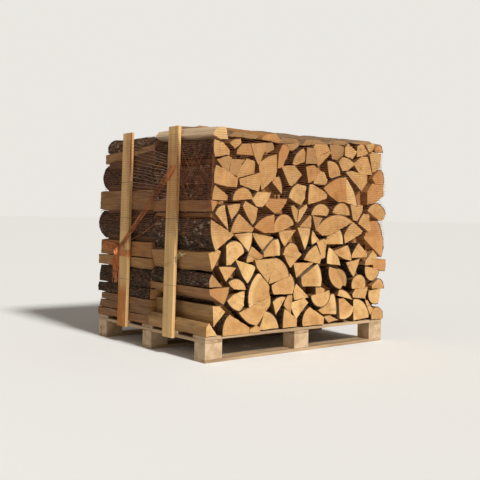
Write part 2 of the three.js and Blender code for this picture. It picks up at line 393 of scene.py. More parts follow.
# %% [markdown]
# ## Making one log
# The maker of a real log saws a trunk to length and cleaves it with an axe. We do the same: a round
# disc of the trunk's size stands where the sawn end is, flat cuts take away what the axe took away,
# and the shape is pulled out along the log. A wedge could be drawn point by point, but then its bark
# would not be a true arc round the heart, and the rings would not fit it.

# %% Selecting and applying
MM = 0.001


def deselect_all():
    """Leaves edit mode, so that the next operator starts with nothing selected."""
    if bpy.context.object and bpy.context.object.mode != "OBJECT":
        bpy.ops.object.mode_set(mode="OBJECT")
    bpy.ops.object.select_all(action="DESELECT")


def only(piece):
    """Selects this piece and no other, and makes it the active one."""
    deselect_all()
    piece.select_set(True)
    bpy.context.view_layer.objects.active = piece
    return piece


def join(pieces, name):
    """Makes one mesh of all the pieces, and names it."""
    deselect_all()
    for piece in pieces:
        piece.select_set(True)
    bpy.context.view_layer.objects.active = pieces[0]
    if len(pieces) > 1:
        bpy.ops.object.join()
    pieces[0].name = name
    pieces[0].data.name = name
    return pieces[0]


def settle(piece):
    """Moves a piece's place and turn into its mesh, so that its object sits at the origin."""
    only(piece)
    bpy.ops.object.transform_apply(location=True, rotation=True, scale=True)
    return piece


print("selecting and applying ready")

# %% The trunk that a log was split from


def corners_of(text):
    """'x z, x z' in millimetres, to points in metres that run clockwise as seen from the front."""
    corners = [Vector([float(v) * MM for v in pair.split()]) for pair in text.split(",")]
    turn = sum(a.x * b.y - b.x * a.y for a, b in zip(corners, corners[1:] + corners[:1]))
    return corners[::-1] if turn > 1e-9 else corners


def trunk_of(corners, swell):
    """Heart and radius of the trunk whose bark runs from the last corner back to the first."""
    if swell == 0:
        middle = sum(corners, Vector((0, 0))) / len(corners)
        return middle, 1.3 * max((c - middle).length for c in corners)
    chord = corners[0] - corners[-1]
    outward = Vector((-chord.y, chord.x)).normalized()
    half, swell = chord.length / 2, swell * MM
    radius = (half * half + swell * swell) / (2 * swell)
    return (corners[0] + corners[-1]) / 2 + outward * (swell - radius), radius


example = trunk_of(corners_of("0 0, 0 80, 60 40"), 8)
print("heart and radius behind a small log:", tuple(example[0]), example[1])

# %% [markdown]
# `cleave` makes the disc, cuts it with one bisect for each split face, evens out the edges, and
# extrudes it. Subdividing only the long edges gives rings of points along the log, which the relief
# needs later. Log sides that nobody can see get wider steps. The corners were laid out a little inside
# each log, so its faces are set out by a few millimetres, and the logs press on each other.

# %% Points along the edges
TOO_LONG = 1.6


def even_out_edges(piece, step):
    """Adds points to every edge that is much longer than the step."""
    while True:
        mesh = bmesh.from_edit_mesh(piece.data)
        longest = max(mesh.edges, key=lambda e: e.calc_length())
        length = longest.calc_length()
        if length < TOO_LONG * step:
            return
        bpy.ops.mesh.select_all(action="DESELECT")
        mesh.select_mode = {"EDGE"}
        longest.select = True
        mesh.select_flush_mode()
        bmesh.update_edit_mesh(piece.data)
        bpy.ops.mesh.subdivide(number_cuts=max(1, round(length / step) - 1))


# %% Cleaving a log
SNUG = 0.0040
FEWEST_POINTS, MOST_POINTS = 24, 360


def cleave(corners, swell, start, end, step, rings, snug):
    """A log from start to end along Y, with every face set out a little from the laid corners."""
    heart, radius = trunk_of(corners, swell)
    radius += snug
    round_bark = math.ceil(2 * math.pi * radius / (1.3 * step))
    points = min(MOST_POINTS, max(FEWEST_POINTS, round_bark))
    bpy.ops.mesh.primitive_circle_add(
        vertices=points, radius=radius, fill_type="NGON",
        location=(heart.x, start, heart.y), rotation=(math.pi / 2, 0, 0),
    )
    piece = settle(bpy.context.object)
    bpy.ops.object.mode_set(mode="EDIT")
    bpy.ops.mesh.select_mode(type="EDGE")
    cuts = list(zip(corners, corners[1:]))
    if swell == 0:
        cuts.append((corners[-1], corners[0]))
    for a, b in cuts:
        outward = Vector((-(b - a).y, 0, (b - a).x)).normalized()
        place = Vector((a.x, start, a.y)) + snug * outward
        bpy.ops.mesh.select_all(action="SELECT")
        bpy.ops.mesh.bisect(plane_co=place, plane_no=outward, clear_outer=True)
    even_out_edges(piece, step)
    bpy.ops.mesh.select_all(action="SELECT")
    bpy.ops.mesh.select_mode(type="FACE")
    bpy.ops.mesh.select_all(action="SELECT")
    bpy.ops.mesh.extrude_region_move(TRANSFORM_OT_translate={"value": (0, end - start, 0)})
    bpy.ops.mesh.select_mode(type="EDGE")
    bpy.ops.mesh.select_all(action="DESELECT")
    mesh = bmesh.from_edit_mesh(piece.data)
    for edge in mesh.edges:
        edge.select = abs(edge.verts[0].co.y - edge.verts[1].co.y) > 0.9 * (end - start)
    bmesh.update_edit_mesh(piece.data)
    bpy.ops.mesh.subdivide(number_cuts=rings)
    bpy.ops.mesh.select_all(action="SELECT")
    bpy.ops.mesh.normals_make_consistent(inside=False)
    bpy.ops.object.mode_set(mode="OBJECT")
    return piece, heart, radius


print("faces are set out by", SNUG / MM, "mm")

# %% [markdown]
# Each face now gets its finish by where it points and how far from the heart it lies. The UV map
# holds the place of every corner as seen from the heart, in metres. The two attributes are filled with
# one value for the whole log, with a little chance in it, so that no two ends look alike. A tone says
# how pale, how orange and how grey the wood is.

# %% Tones of the wood
TONES = {
    "cream": (0.92, 0.02, 0.0),
    "tan": (0.55, 0.12, 0.02),
    "orange": (0.38, 0.60, 0.04),
    "brown": (0.22, 0.42, 0.22),
    "dim": (0.30, 0.10, 0.55),
    "grey": (0.15, 0.05, 0.80),
    "dark": (0.00, 0.22, 0.30),
    "ashen": (0.95, 0.00, 0.35),
}
TONE_SPREAD = 0.10
SAWN, SPLIT, BARKED = 0, 1, 2


def tone_values(look, swell, radius, lichen, side_light, chance):
    """The two attributes of a log, worked out from the words for its look."""
    words = look.split()
    tone = [min(1, max(0, v + chance.uniform(-TONE_SPREAD, TONE_SPREAD))) for v in TONES[words[0]]]
    band = 0.9 if "sapwood" in words else 0.15
    return {
        "tone": (*tone, chance.random()),
        "trunk": (radius if swell else 0.0, lichen, band, side_light),
    }


print("tones:", list(TONES))

# %% Finish of each face


def read_rows(items, what):
    """A value of three numbers for each of these items, such as its place, as rows."""
    flat = np.zeros(len(items) * 3)
    items.foreach_get(what, flat)
    return flat.reshape(-1, 3)


def finish_faces(piece, heart, radius, swell):
    """Sawn finish on the two ends, bark on the trunk's outside, and split wood on all the rest."""
    mesh = piece.data
    for finish in LOG_FINISHES:
        mesh.materials.append(finish)
    normals, centres = read_rows(mesh.polygons, "normal"), read_rows(mesh.polygons, "center")
    across, up = centres[:, 0] - heart.x, centres[:, 2] - heart.y
    away = np.hypot(across, up)
    slots = np.where(np.abs(normals[:, 1]) > 0.8, SAWN, SPLIT)
    if swell:
        outward = across * normals[:, 0] + up * normals[:, 2]
        slots[(slots == SPLIT) & (away > 0.985 * radius) & (outward > 0.98 * away)] = BARKED
    mesh.polygons.foreach_set("material_index", slots.astype(np.int32))
    for group, slot in (("split", SPLIT), ("bark", BARKED)):
        used = {v for p in mesh.polygons if p.material_index == slot for v in p.vertices}
        piece.vertex_groups.new(name=group).add(list(used), 1.0, "REPLACE")


def dress(piece, heart, radius, swell, look, lichen, chance, side_light):
    """Gives a log its finishes, its UV map round the heart, and its two attributes."""
    mesh = piece.data
    finish_faces(piece, heart, radius, swell)
    corner_points = np.zeros(len(mesh.loops), np.int32)
    mesh.loops.foreach_get("vertex_index", corner_points)
    places = read_rows(mesh.vertices, "co")[corner_points]
    if not swell:
        slant = chance.uniform(0, 2 * math.pi)
        aside = Vector((math.cos(slant), math.sin(slant))) * chance.uniform(0.3, 1.0) * radius
        heart = heart + aside
    spread = np.stack([places[:, 0] - heart.x, places[:, 2] - heart.y], axis=1)
    for layer in list(mesh.uv_layers):
        mesh.uv_layers.remove(layer)
    mesh.uv_layers.new(name="grain").data.foreach_set("uv", spread.ravel())
    for name, value in tone_values(look, swell, radius, lichen, side_light, chance).items():
        layer = mesh.attributes.new(name, "FLOAT_COLOR", "CORNER")
        layer.data.foreach_set("color", np.tile(value, len(mesh.loops)))


# %% [markdown]
# No two ends are sawn quite square, so the end that shows is tilted by a few millimetres. Some logs
# also rise towards their far end. Both are turns about a point of the log, as a hand would turn it.

# %% A whole log
MOST_SLANT = 0.12
END_OUT_OF_TRUE = 0.0045


def saw_end(piece, middle, nod, turn):
    """Tilts the end at the start of the log about its middle."""
    only(piece)
    bpy.ops.object.mode_set(mode="EDIT")
    bpy.ops.mesh.select_mode(type="VERT")
    bpy.ops.mesh.select_all(action="DESELECT")
    mesh = bmesh.from_edit_mesh(piece.data)
    for vert in mesh.verts:
        vert.select = vert.co.y < middle[1] + 0.0001
    mesh.select_flush_mode()
    bmesh.update_edit_mesh(piece.data)
    bpy.ops.transform.rotate(value=nod, orient_axis="X", center_override=middle)
    bpy.ops.transform.rotate(value=turn, orient_axis="Z", center_override=middle)
    bpy.ops.object.mode_set(mode="OBJECT")


def raise_far_end(piece, pivot, angle):
    only(piece)
    bpy.ops.object.mode_set(mode="EDIT")
    bpy.ops.mesh.select_all(action="SELECT")
    bpy.ops.transform.rotate(value=-angle, orient_axis="X", center_override=pivot)
    bpy.ops.object.mode_set(mode="OBJECT")


def log(outline, swell, look, start, end, chance,
        rise=0.0, lichen=0.0, step=0.011, rings=11, snug=SNUG, side_light=1.0):
    """A log with this outline that runs along Y. Swell and rise are in millimetres."""
    corners = corners_of(outline)
    piece, heart, radius = cleave(corners, swell, start, end, step, rings, snug)
    dress(piece, heart, radius, swell, look, lichen, chance, side_light)
    middle = sum(corners, Vector((0, 0))) / len(corners)
    slant = min(MOST_SLANT, END_OUT_OF_TRUE / max((c - middle).length for c in corners))
    nod, turn = slant * chance.uniform(-1, 1), slant * chance.uniform(-1, 1)
    saw_end(piece, (middle.x, start, middle.y), nod, turn)
    if rise:
        pivot = (corners[0].x, start, corners[0].y)
        raise_far_end(piece, pivot, math.atan2(rise * MM, end - start))
    return piece


# %% [markdown]
# ## Relief
# Torn fibres stand a few millimetres proud, and bark is furrowed. A Displace modifier pushes the
# points in and out by a cloud texture. The texture reads the space of an empty that is stretched along
# Y, so the ridges come out long. Separate vertex groups keep the bark's relief off the split faces.

# %% Relief


def cloud(name, size, depth=2):
    """A cloud texture whose lumps have this size, in metres."""
    texture = bpy.data.textures.new(name, "CLOUDS")
    texture.noise_scale = size
    texture.noise_depth = depth
    return texture


def stretched_space(name, along):
    """An empty, in whose space a texture is drawn out along Y."""
    bpy.ops.object.empty_add(location=(0, 0, 0))
    empty = bpy.context.object
    empty.name = name
    empty.scale = (1, along, 1)
    return empty


# Vertex group, with "" for the whole log: texture, space that it reads, depth.
RELIEF = {
    "": (cloud("bend", 0.30, 1), stretched_space("bend space", 1), 0.010),
    "split": (cloud("torn fibres", 0.016), stretched_space("fibre space", 7), 0.007),
    "bark": (cloud("bark furrows", 0.018), stretched_space("bark space", 3.5), 0.009),
}
CREASE = math.radians(32)
bpy.context.view_layer.update()


def roughen(piece, strength=1.0):
    """Bends the log a little, and roughens its split faces and its bark."""
    only(piece)
    for group, (texture, space, depth) in RELIEF.items():
        push = piece.modifiers.new("relief " + group, "DISPLACE")
        push.texture = texture
        push.texture_coords = "OBJECT"
        push.texture_coords_object = space
        push.strength = depth * strength
        push.mid_level = 0.5
        push.vertex_group = group
        bpy.ops.object.modifier_apply(modifier=push.name)
    bpy.ops.object.shade_smooth_by_angle(angle=CREASE)
    return piece


print("relief depths in millimetres:", {group or "bend": v[2] / MM for group, v in RELIEF.items()})

# %% [markdown]
# ## The front row
# The logs of the front row are laid out course by course, as corners in millimetres round each sawn
# end. The number before the corners is how far the bark swells out between the last corner and the
# first, and 0 is a log with no bark. The words say how the log looks: its tone, such as cream, tan,
# orange or dim, and whether it has a bright band of sapwood.

# %% The lower courses
BOTTOM_LEFT = [
    ("tan", 14, "-470 214, -347 145, -347 122, -507 122"),
    ("tan", 0, "-338 124, -340 134, -302 148, -278 134, -280 122"),
    ("cream", 18, "-237 213, -270 140, -268 131, -150 131"),
    ("tan", 12, "-405 217, -218 282, -220 245, -302 152"),
    ("tan sapwood", 24, "-302 397, -286 391, -233 338, -229 290, -350 245"),
    ("cream", 9, "-472 276, -440 302, -377 319, -375 252, -400 224"),
    ("cream", 28, "-475 368, -462 350, -440 335, -376 330"),
    ("tan", 3, "-437 432, -488 374, -524 437"),
    ("cream sapwood", 5, "-350 358, -380 388, -425 462, -309 430"),
    ("cream", 9, "-120 276, -172 203, -189 260"),
    ("tan", 3, "-102 280, -72 282, -70 192, -122 240"),
    ("tan", 3, "-126 218, -43 164, -43 130, -133 128"),
    ("cream sapwood", 6, "-70 243, 18 261, 37 242, -38 166"),
    ("cream", 9, "-47 337, 5 298, 40 270, -55 264"),
    ("tan", 17, "-74 297, -190 300, -223 329, -85 390"),
    ("tan", 22, "-192 472, -205 440, -226 354, -103 382"),
    ("tan", 0, "-316 460, -200 466, -210 436, -238 364, -303 430"),
]
BOTTOM_MIDDLE = [
    ("tan", 18, "38 217, 153 150, 150 131, 0 128"),
    ("cream", 62, "62 270, 184 291"),
    ("tan", 0, "98 321, 150 302, 150 294, 97 284"),
    ("tan sapwood", 8, "225 272, 190 262, 128 195, 150 182, 250 172"),
    ("tan", 0, "167 158, 200 160, 252 139, 192 133"),
    ("tan sapwood", 22, "265 145, 262 244, 292 246, 368 192"),
    ("cream", 13, "262 296, 252 270, 305 256, 352 244"),
    ("tan", 32, "184 416, 232 403, 276 326, 262 304"),
    ("dim", 34, "238 406, 281 334, 290 322, 316 316"),
    ("tan sapwood", 12, "100 434, -12 372, -12 345, -5 330, 118 327"),
    ("tan", 0, "62 440, -44 376, -62 442"),
]
BOTTOM_RIGHT = [
    ("cream", 32, "372 240, 372 186, 378 131, 490 140"),
    ("tan", 0, "366 267, 385 289, 476 298, 463 243, 372 252"),
    ("tan", 3, "470 231, 484 224, 520 178, 500 152"),
    ("cream", 5, "490 275, 572 283, 566 240, 540 185, 526 188, 493 232"),
    ("tan", 20, "550 186, 522 168, 503 149, 496 128, 594 126"),
    ("tan", 10, "570 341, 518 306, 522 294, 614 290"),
    ("tan", 60, "574 384, 545 397, 458 408"),
    ("orange", 0, "552 446, 536 421, 540 404, 622 387, 627 444"),
    ("tan", 4, "319 433, 411 450, 376 361"),
    ("tan", 24, "402 370, 327 322, 320 300, 453 300"),
]
print("logs in the lower courses:", len(BOTTOM_LEFT + BOTTOM_MIDDLE + BOTTOM_RIGHT))

# %% The middle courses
MIDDLE_LEFT = [
    ("tan", 2, "-488 718, -416 727, -416 708, -462 659"),
    ("tan", 3, "-399 716, -385 737, -313 708, -323 656, -342 637"),
    ("tan", 6, "-420 679, -338 614, -342 605, -463 598"),
    ("tan sapwood", 4, "-362 511, -434 584, -345 591"),
    ("cream", 30, "-385 508, -462 450, -485 448, -491 540"),
    ("tan", 2, "-338 526, -264 478, -300 466, -360 460, -362 478"),
    ("cream", 8, "-508 722, -486 619, -498 630, -556 688"),
    ("tan", 3, "-328 588, -207 570, -268 516"),
    ("orange", 13, "-212 681, -205 600, -262 598, -326 624"),
    ("tan", 66, "-64 639, -120 616, -198 598"),
    ("tan", 3, "-85 722, -68 728, -39 706, -43 650, -58 651"),
    ("cream", 0, "-34 707, 16 733, 20 722, -26 662, -40 650"),
    ("tan", 0, "30 678, 41 674, 43 624, -22 628"),
    ("cream", 8, "19 512, -38 617, 47 620"),
    ("tan", 4, "-161 602, -60 604, -125 531, -141 546"),
    ("tan sapwood", 8, "-166 561, -205 551, -260 500, -260 484, -151 487"),
    ("tan", 11, "-38 504, -138 489, -127 519, -90 545"),
    ("tan", 0, "-132 485, -38 501, -20 487, -92 427, -112 450"),
]
MIDDLE_RIGHT = [
    ("tan", 9, "76 530, 118 470, 108 441, 62 448, 5 462"),
    ("cream", 0, "62 600, 104 557, 60 540, 56 570"),
    ("dim", 0, "62 678, 118 668, 80 609"),
    ("tan", 0, "94 545, 135 560, 150 553, 147 470, 135 465"),
    ("tan", 13, "205 683, 350 684, 350 656, 182 588, 130 583, 86 612"),
    ("tan sapwood", 9, "262 612, 180 580, 157 540, 287 539"),
    ("cream", 40, "174 716, 168 692, 160 686, 52 686"),
    ("tan", 50, "334 692, 270 690, 202 702"),
    ("cream sapwood", 4, "170 514, 184 510, 213 494, 238 476, 260 429, 164 439"),
    ("tan", 7, "315 526, 218 498, 242 479, 300 458, 340 453"),
    ("tan", 6, "350 648, 427 602, 418 591, 302 542, 292 585"),
    ("tan", 0, "340 735, 432 735, 428 708, 385 660, 356 666"),
    ("tan", 3, "430 692, 470 689, 478 611, 460 608, 394 647"),
    ("orange", 9, "553 653, 495 650, 486 646, 462 579, 592 578"),
    ("orange", 12, "586 465, 457 560, 452 573, 598 574"),
    ("tan", 42, "604 700, 595 670, 565 663, 468 716"),
    ("tan", 3, "402 538, 466 480, 460 467, 347 465"),
    ("tan", 0, "458 424, 462 440, 520 496, 548 470, 543 449, 530 424"),
]
print("logs in the middle courses:", len(MIDDLE_LEFT + MIDDLE_RIGHT))

# %% The upper courses
UPPER_LEFT = [
    ("dim", 0, "-476 874, -458 934, -392 934, -432 862"),
    ("tan", 0, "-478 1008, -455 1024, -420 1028, -414 1012, -448 987"),
    ("orange", 0, "-435 976, -410 1006, -362 1012, -337 963, -437 961"),
    ("tan", 3, "-350 1012, -264 1022, -267 990, -298 922, -312 936"),
    ("tan", 6, "-376 941, -327 930, -327 880, -428 853"),
    ("tan", 0, "-416 842, -330 866, -294 876, -290 840, -306 797, -410 822"),
    ("tan", 50, "-339 760, -455 747"),
    ("cream", 0, "-340 752, -310 783, -234 784, -256 747, -285 722, -317 725"),
    ("orange", 0, "-240 756, -124 757, -130 740, -165 704, -197 692, -258 728"),
    ("tan", 0, "-295 915, -283 917, -224 852, -246 830, -281 806, -287 850"),
    ("tan", 0, "-292 926, -240 955, -182 971, -182 915, -199 862, -213 848"),
    ("orange", 0, "-178 979, -161 1017, -139 1021, -120 1000, -155 919, -177 913"),
    ("dim", 0, "-256 1019, -222 1026, -208 1000, -246 980, -256 986"),
    ("dim", 0, "-122 1025, -60 1034, -50 1026, -90 1002, -108 1004"),
    ("tan", 13, "-20 1012, -4 990, -4 954, -68 932, -79 940"),
    ("tan", 0, "-144 914, -70 924, -20 882, -85 828, -100 834"),
    ("tan", 8, "-166 862, -189 860, -204 839, -148 789"),
    ("cream", 10, "-62 833, 2 826, 1 770, -22 736, -60 749, -107 772"),
    ("dim", 0, "-540 927, -482 948, -464 940, -482 882, -507 892"),
]
UPPER_MIDDLE = [
    ("dim", 0, "4 944, 6 1016, 56 1016, 82 946"),
    ("tan", 3, "64 1020, 76 1040, 158 1043, 186 1005, 102 938, 89 946"),
    ("dim", 0, "180 1043, 240 1047, 280 1036, 280 1003, 235 977, 206 979"),
    ("tan", 0, "285 1034, 304 1054, 370 1022, 340 989, 285 1001"),
    ("tan", 0, "236 960, 262 983, 300 979, 352 957, 300 926, 264 921"),
    ("tan", 24, "164 960, 168 930, 182 885, 197 881, 255 897"),
    ("orange", 0, "9 921, 60 931, 104 908, 60 862, 23 847"),
    ("tan", 0, "108 903, 134 901, 158 865, 156 842, 64 845, 66 862"),
    ("tan", 3, "33 835, 52 837, 163 795, 158 774, 50 744, 26 741"),
    ("orange", 12, "283 884, 287 760, 240 757, 174 790, 132 825"),
    ("tan sapwood", 14, "296 885, 292 760, 378 743"),
]
UPPER_RIGHT = [
    ("tan", 0, "383 1048, 410 1062, 434 1058, 475 1026, 453 1013, 382 1002"),
    ("tan", 0, "446 1062, 506 1072, 506 1050, 488 1032, 476 1030"),
    ("tan", 0, "481 1010, 498 1026, 566 1021, 562 952, 520 927, 505 924"),
    ("tan", 0, "357 957, 415 997, 459 996, 498 911, 405 909"),
    ("tan", 0, "309 910, 350 915, 458 899, 459 865, 425 822"),
    ("orange", 12, "590 860, 525 863, 500 888, 513 905, 558 934"),
    ("orange", 0, "595 800, 535 762, 470 749, 466 812, 502 857, 592 855"),
]
print("logs in the upper courses:", len(UPPER_LEFT + UPPER_MIDDLE + UPPER_RIGHT))

# %% [markdown]
# The logs run from the front to the seam between the two rows. Those on the right-hand edge show their
# length, so they get finer steps and keep to pieces of their own, on which the net is fitted later. The
# inner logs show little but their ends, and their sides get painted shade, nearly black, like deep gaps.

# %% Cleave the inner logs of the front row
FRONT, SEAM, REAR = -0.505, -0.017, 0.505
COURSES = {
    "logs_bottom_left": BOTTOM_LEFT,
    "logs_bottom_middle": BOTTOM_MIDDLE,
    "logs_bottom_right": BOTTOM_RIGHT,
    "logs_middle_left": MIDDLE_LEFT,
    "logs_middle_right": MIDDLE_RIGHT,
    "logs_upper_left": UPPER_LEFT,
    "logs_upper_middle": UPPER_MIDDLE,
    "logs_upper_right": UPPER_RIGHT,
}
EDGE_OF_LOAD = 0.505
LEVEL_UP_TO, RISING_OVER, TOP_RISE = 0.87, 0.16, 38
# Share of light that the inner logs' split faces keep; the rest is painted shade.
INNER_SIDE_LIGHT = 0.30


def course_rise(outline):
    """The upper courses tilt a little, because the rear ends of the top slabs lie higher."""
    height = sum(c.y for c in corners_of(outline)) / len(corners_of(outline))
    return TOP_RISE * min(1, max(0, (height - LEVEL_UP_TO) / RISING_OVER))


def lay_course(name, logs, chance):
    """Cleaves a course, and gives its inner logs and those on the right-hand edge as two pieces."""
    made = {name: [], name + "_edge": []}
    for look, swell, outline in logs:
        outermost = max(c.x for c in corners_of(outline)) > EDGE_OF_LOAD
        # Inner logs get painted shade on their split faces.
        fine = {"step": 0.008, "rings": 26} if outermost else {"side_light": INNER_SIDE_LIGHT}
        start = FRONT + chance.uniform(-0.006, 0.010)
        end = SEAM - chance.uniform(0.0, 0.03)
        moss = 0.9 if chance.random() < 0.3 else 0.3
        rise = course_rise(outline)
        piece = log(outline, swell, look, start, end, chance, rise, moss, **fine)
        made[name + "_edge" if outermost else name].append(piece)
    return {title: roughen(join(pieces, title)) for title, pieces in made.items() if pieces}


chance = random.Random(7)
front_inner = {}
for name, logs in COURSES.items():
    front_inner.update(lay_course(name, logs, chance))
print("inner logs:", sum(len(c) for c in COURSES.values()))

# %% [markdown]
# Between the ends one looks into dark gaps, and further in there are always more logs. Round logs with
# their bark on, set back from the ends, close those gaps. Without them daylight shows through the load.

# %% Logs set back in the gaps
END_IN_SEAM = -0.004


def set_back_logs(chance):
    """Columns of nearly round logs. Bark runs over them from one lower corner to the other."""
    made = []
    for column in range(8):
        for level in range(7):
            x = -455 + 130 * column + chance.uniform(-6, 6)
            z = 126 + 124 * level + chance.uniform(-4, 4)
            outline = f"{x + 40:.0f} {z:.0f}, {x - 40:.0f} {z:.0f}"
            start = FRONT + chance.uniform(0.05, 0.09)
            # Their split faces carry painted shade, like the deep gaps.
            made.append(log(outline, 124, "brown", start, END_IN_SEAM, chance, side_light=INNER_SIDE_LIGHT))
    return roughen(join(made, "logs_set_back"))


front_inner["logs_set_back"] = set_back_logs(chance)
print("faces:", sum(len(p.data.polygons) for p in front_inner.values()))

# %% [markdown]
# The logs on the left of the row, and the slabs on top, show their whole length, so each one stays a
# piece of its own, stands for its own solid, and has finer steps. Their ends stand in or out by a few
# millimetres, and the slabs' rear ends are raised.

# %% Logs that show along their length
# Name: look, bark swell, how far the end stands out, rise of the far end, lichen, corners.
LEFT_FRONT = {
    "log_front_01": ("cream", 0, 0, 0, 0, "-598 122, -598 166, -584 184, -532 122"),
    "log_front_02": ("cream", 0, -12, 0, 0, "-555 258, -515 255, -480 228, -550 163"),
    "log_front_03": ("brown", 6, 4, 0, 0.3, "-497 262, -585 312, -590 339, -468 343"),
    "log_front_04": ("dim", 6, 2, 0, 0.9, "-584 395, -575 408, -512 348, -584 345"),
    "log_front_05": ("tan", 6, -3, 0, 0.4, "-568 419, -588 500, -535 517, -516 508"),
    "log_front_06": ("tan", 11, 5, 0, 1.0, "-584 655, -452 585, -560 512"),
    "log_front_07": ("orange", 0, -25, 0, 0, "-562 668, -560 682, -545 683, -496 632"),
    "log_front_08": ("orange", 0, 0, 0, 0, "-582 742, -540 736, -575 694"),
    "log_front_09": ("tan", 4, 3, 0, 0.9, "-568 812, -490 766, -493 745, -580 746"),
    "log_front_10": ("tan", 6, 6, 0, 1.0, "-566 905, -510 885, -431 846, -437 808, -490 808, -574 822"),
    "log_front_11": ("tan", 6, 1, 0, 0.5, "-570 1020, -515 1006, -478 973, -480 955, -564 940"),
}
TOP_FRONT = {
    "log_top_1": ("ashen sapwood", 0, -2, 20, 0, "-572 1042, -555 1068, -502 1080, -488 1024, -530 1022"),
    "log_top_2": ("grey", 0, -15, 64, 0, "-470 1040, -440 1064, -380 1066, -300 1058, -312 1038"),
    "log_top_3": ("orange", 0, -5, 73, 0, "-285 1040, -262 1062, -200 1072, -165 1046, -172 1031"),
    "log_top_4": ("grey", 0, -25, 86, 0, "-155 1034, -140 1058, -45 1060, -10 1036"),
    "log_top_5": ("grey", 0, -20, 82, 0, "-2 1032, 22 1060, 110 1066, 165 1050"),
    "log_top_6": ("grey", 0, -18, 77, 0, "172 1050, 200 1068, 290 1072, 330 1058"),
    "log_top_7": ("grey", 0, -10, 64, 0, "345 1068, 430 1084, 470 1086, 505 1076, 440 1064"),
    "log_top_8": ("orange", 5, 0, 72, 0.2, "580 1030, 514 1034, 509 1048, 550 1072"),
}
LEFT_REAR = {
    "log_rear_01": ("brown", 0, 10, 0, 0, "-598 122, -598 161, -492 150, -482 122"),
    "log_rear_02": ("dark", 0, -2, 0, 0, "-596 166, -590 204, -497 192, -487 156"),
    "log_rear_03": ("dark", 0, -18, 0, 0, "-594 209, -592 243, -505 240, -492 198"),
    "log_rear_04": ("tan", 2, 20, 0, 0.3, "-592 298, -495 291, -500 246, -594 249"),
    "log_rear_05": ("tan", 5, 12, 0, 0.5, "-582 393, -480 345, -492 298, -590 304"),
    "log_rear_06": ("tan", 0, 26, 0, 0, "-590 399, -589 451, -490 447, -478 400, -500 394"),
    "log_rear_07": ("orange", 0, 3, 0, 0, "-588 457, -584 532, -522 538, -480 454"),
    "log_rear_08": ("tan", 38, 28, 0, 0.7, "-556 690, -470 640, -470 562, -540 542"),
    "log_rear_09": ("tan", 0, 20, 0, 0, "-583 704, -580 795, -482 780, -472 702, -556 697"),
    "log_rear_10": ("orange", 38, 2, 0, 0.6, "-545 940, -470 900, -470 822, -535 802"),
    "log_rear_11": ("tan", 0, -20, 0, 0, "-577 948, -575 998, -482 985, -474 944"),
    "log_rear_12": ("dim", 48, -40, 14, 1.0, "-472 1046, -478 988, -573 996"),
}
print("logs in the tables:", len(LEFT_FRONT) + len(TOP_FRONT) + len(LEFT_REAR))

# %% Lay them
FINE = {"step": 0.006, "rings": 38, "snug": 0.0010}
REAR_SEAM = SEAM + 0.004


def lay_log(name, spec, start, end, out_at_rear, chance):
    """A log from a line of the tables, with only its sawn end standing in or out."""
    look, swell, out, rise, lichen, outline = spec
    start, end = (start, end + out * MM) if out_at_rear else (start - out * MM, end)
    # The left-hand logs get a little painted shade on their split faces, and the slabs keep their full
    # light.
    side_light = 1.0 if name.startswith("log_top") else 0.74
    piece = log(outline, swell, look, start, end, chance, rise, lichen, side_light=side_light, **FINE)
    piece.name = piece.data.name = name + "_wood"
    return roughen(piece, 0.9)


chance = random.Random(11)
own_logs = {}
for name, spec in {**LEFT_FRONT, **TOP_FRONT}.items():
    own_logs[name] = lay_log(name, spec, FRONT, SEAM, False, chance)
for name, spec in LEFT_REAR.items():
    own_logs[name] = lay_log(name, spec, REAR_SEAM, REAR, True, chance)
print("logs that show along their length:", len(own_logs))

# %% [markdown]
# One of the rear logs is a thin stick that tapers and rises towards the seam. It is laid as a plain log
# like the others, and then every point is moved up and squeezed by how far along the stick it lies.

# %% Taper the stick
STICK_HEIGHT, STICK_TAPER, STICK_RISE = 0.972, 0.55, 0.040
stick = own_logs["log_rear_11"]
only(stick)
bpy.ops.object.mode_set(mode="EDIT")
bpy.ops.mesh.select_all(action="DESELECT")
mesh = bmesh.from_edit_mesh(stick.data)
for vert in mesh.verts:
    share = (REAR - vert.co.y) / (REAR - SEAM)
    squeezed = (vert.co.z - STICK_HEIGHT) * (1 - STICK_TAPER * share)
    vert.co.z = squeezed + STICK_HEIGHT + STICK_RISE * share
bmesh.update_edit_mesh(stick.data)
bpy.ops.object.mode_set(mode="OBJECT")
print("the stick tapers by", STICK_TAPER)

# %% [markdown]
# Each piece now says which CAD solids it stands for, and which finish of the record it shows. Nothing
# on the load moves, so every piece rides on the same body.

# %% What stands for what


def stand_for(piece, slot, *nodes):
    """The piece hides the CAD nodes it stands for, takes a finish from the record, and stays put."""
    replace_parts(piece, *nodes)
    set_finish(piece, slot)
    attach(piece, "root")


for name, piece in own_logs.items():
    stand_for(piece, "firewood", name)
for piece in front_inner.values():
    stand_for(piece, "firewood", "logs_front_inner")

# %% [markdown]
# ## The rear row
# The rear row is a second row of the same kind, seen only from behind and from the sides. It is the
# front row turned half round, so its copies bring their sawn ends to the back. The copies of the
# right-hand column would stand where the rear row's own left-hand logs are, so they are left out.

# %% Copy the front row to the rear
TURNED_TO = (0.012, -0.008, 0)


def turned_copies(pieces, name):
    """Copies with their own meshes, turned half round so that their sawn ends face the back."""
    deselect_all()
    for piece in pieces:
        piece.select_set(True)
    bpy.context.view_layer.objects.active = pieces[0]
    bpy.ops.object.duplicate(linked=False)
    copies = list(bpy.context.selected_objects)
    for copy in copies:
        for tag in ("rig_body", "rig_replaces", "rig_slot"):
            if tag in copy:
                del copy[tag]
        copy.parent = None
        copy.rotation_euler = (0, 0, math.pi)
        copy.location = TURNED_TO
        settle(copy)
    return join(copies, name)


for name, piece in front_inner.items():
    if not name.endswith("_edge"):
        rear = turned_copies([piece], name.replace("logs", "rear_logs"))
        stand_for(rear, "firewood", "logs_rear_inner")
left_column = [own_logs[name] for name in LEFT_FRONT]
stand_for(turned_copies(left_column, "rear_logs_right_column"), "firewood", "logs_rear_inner")
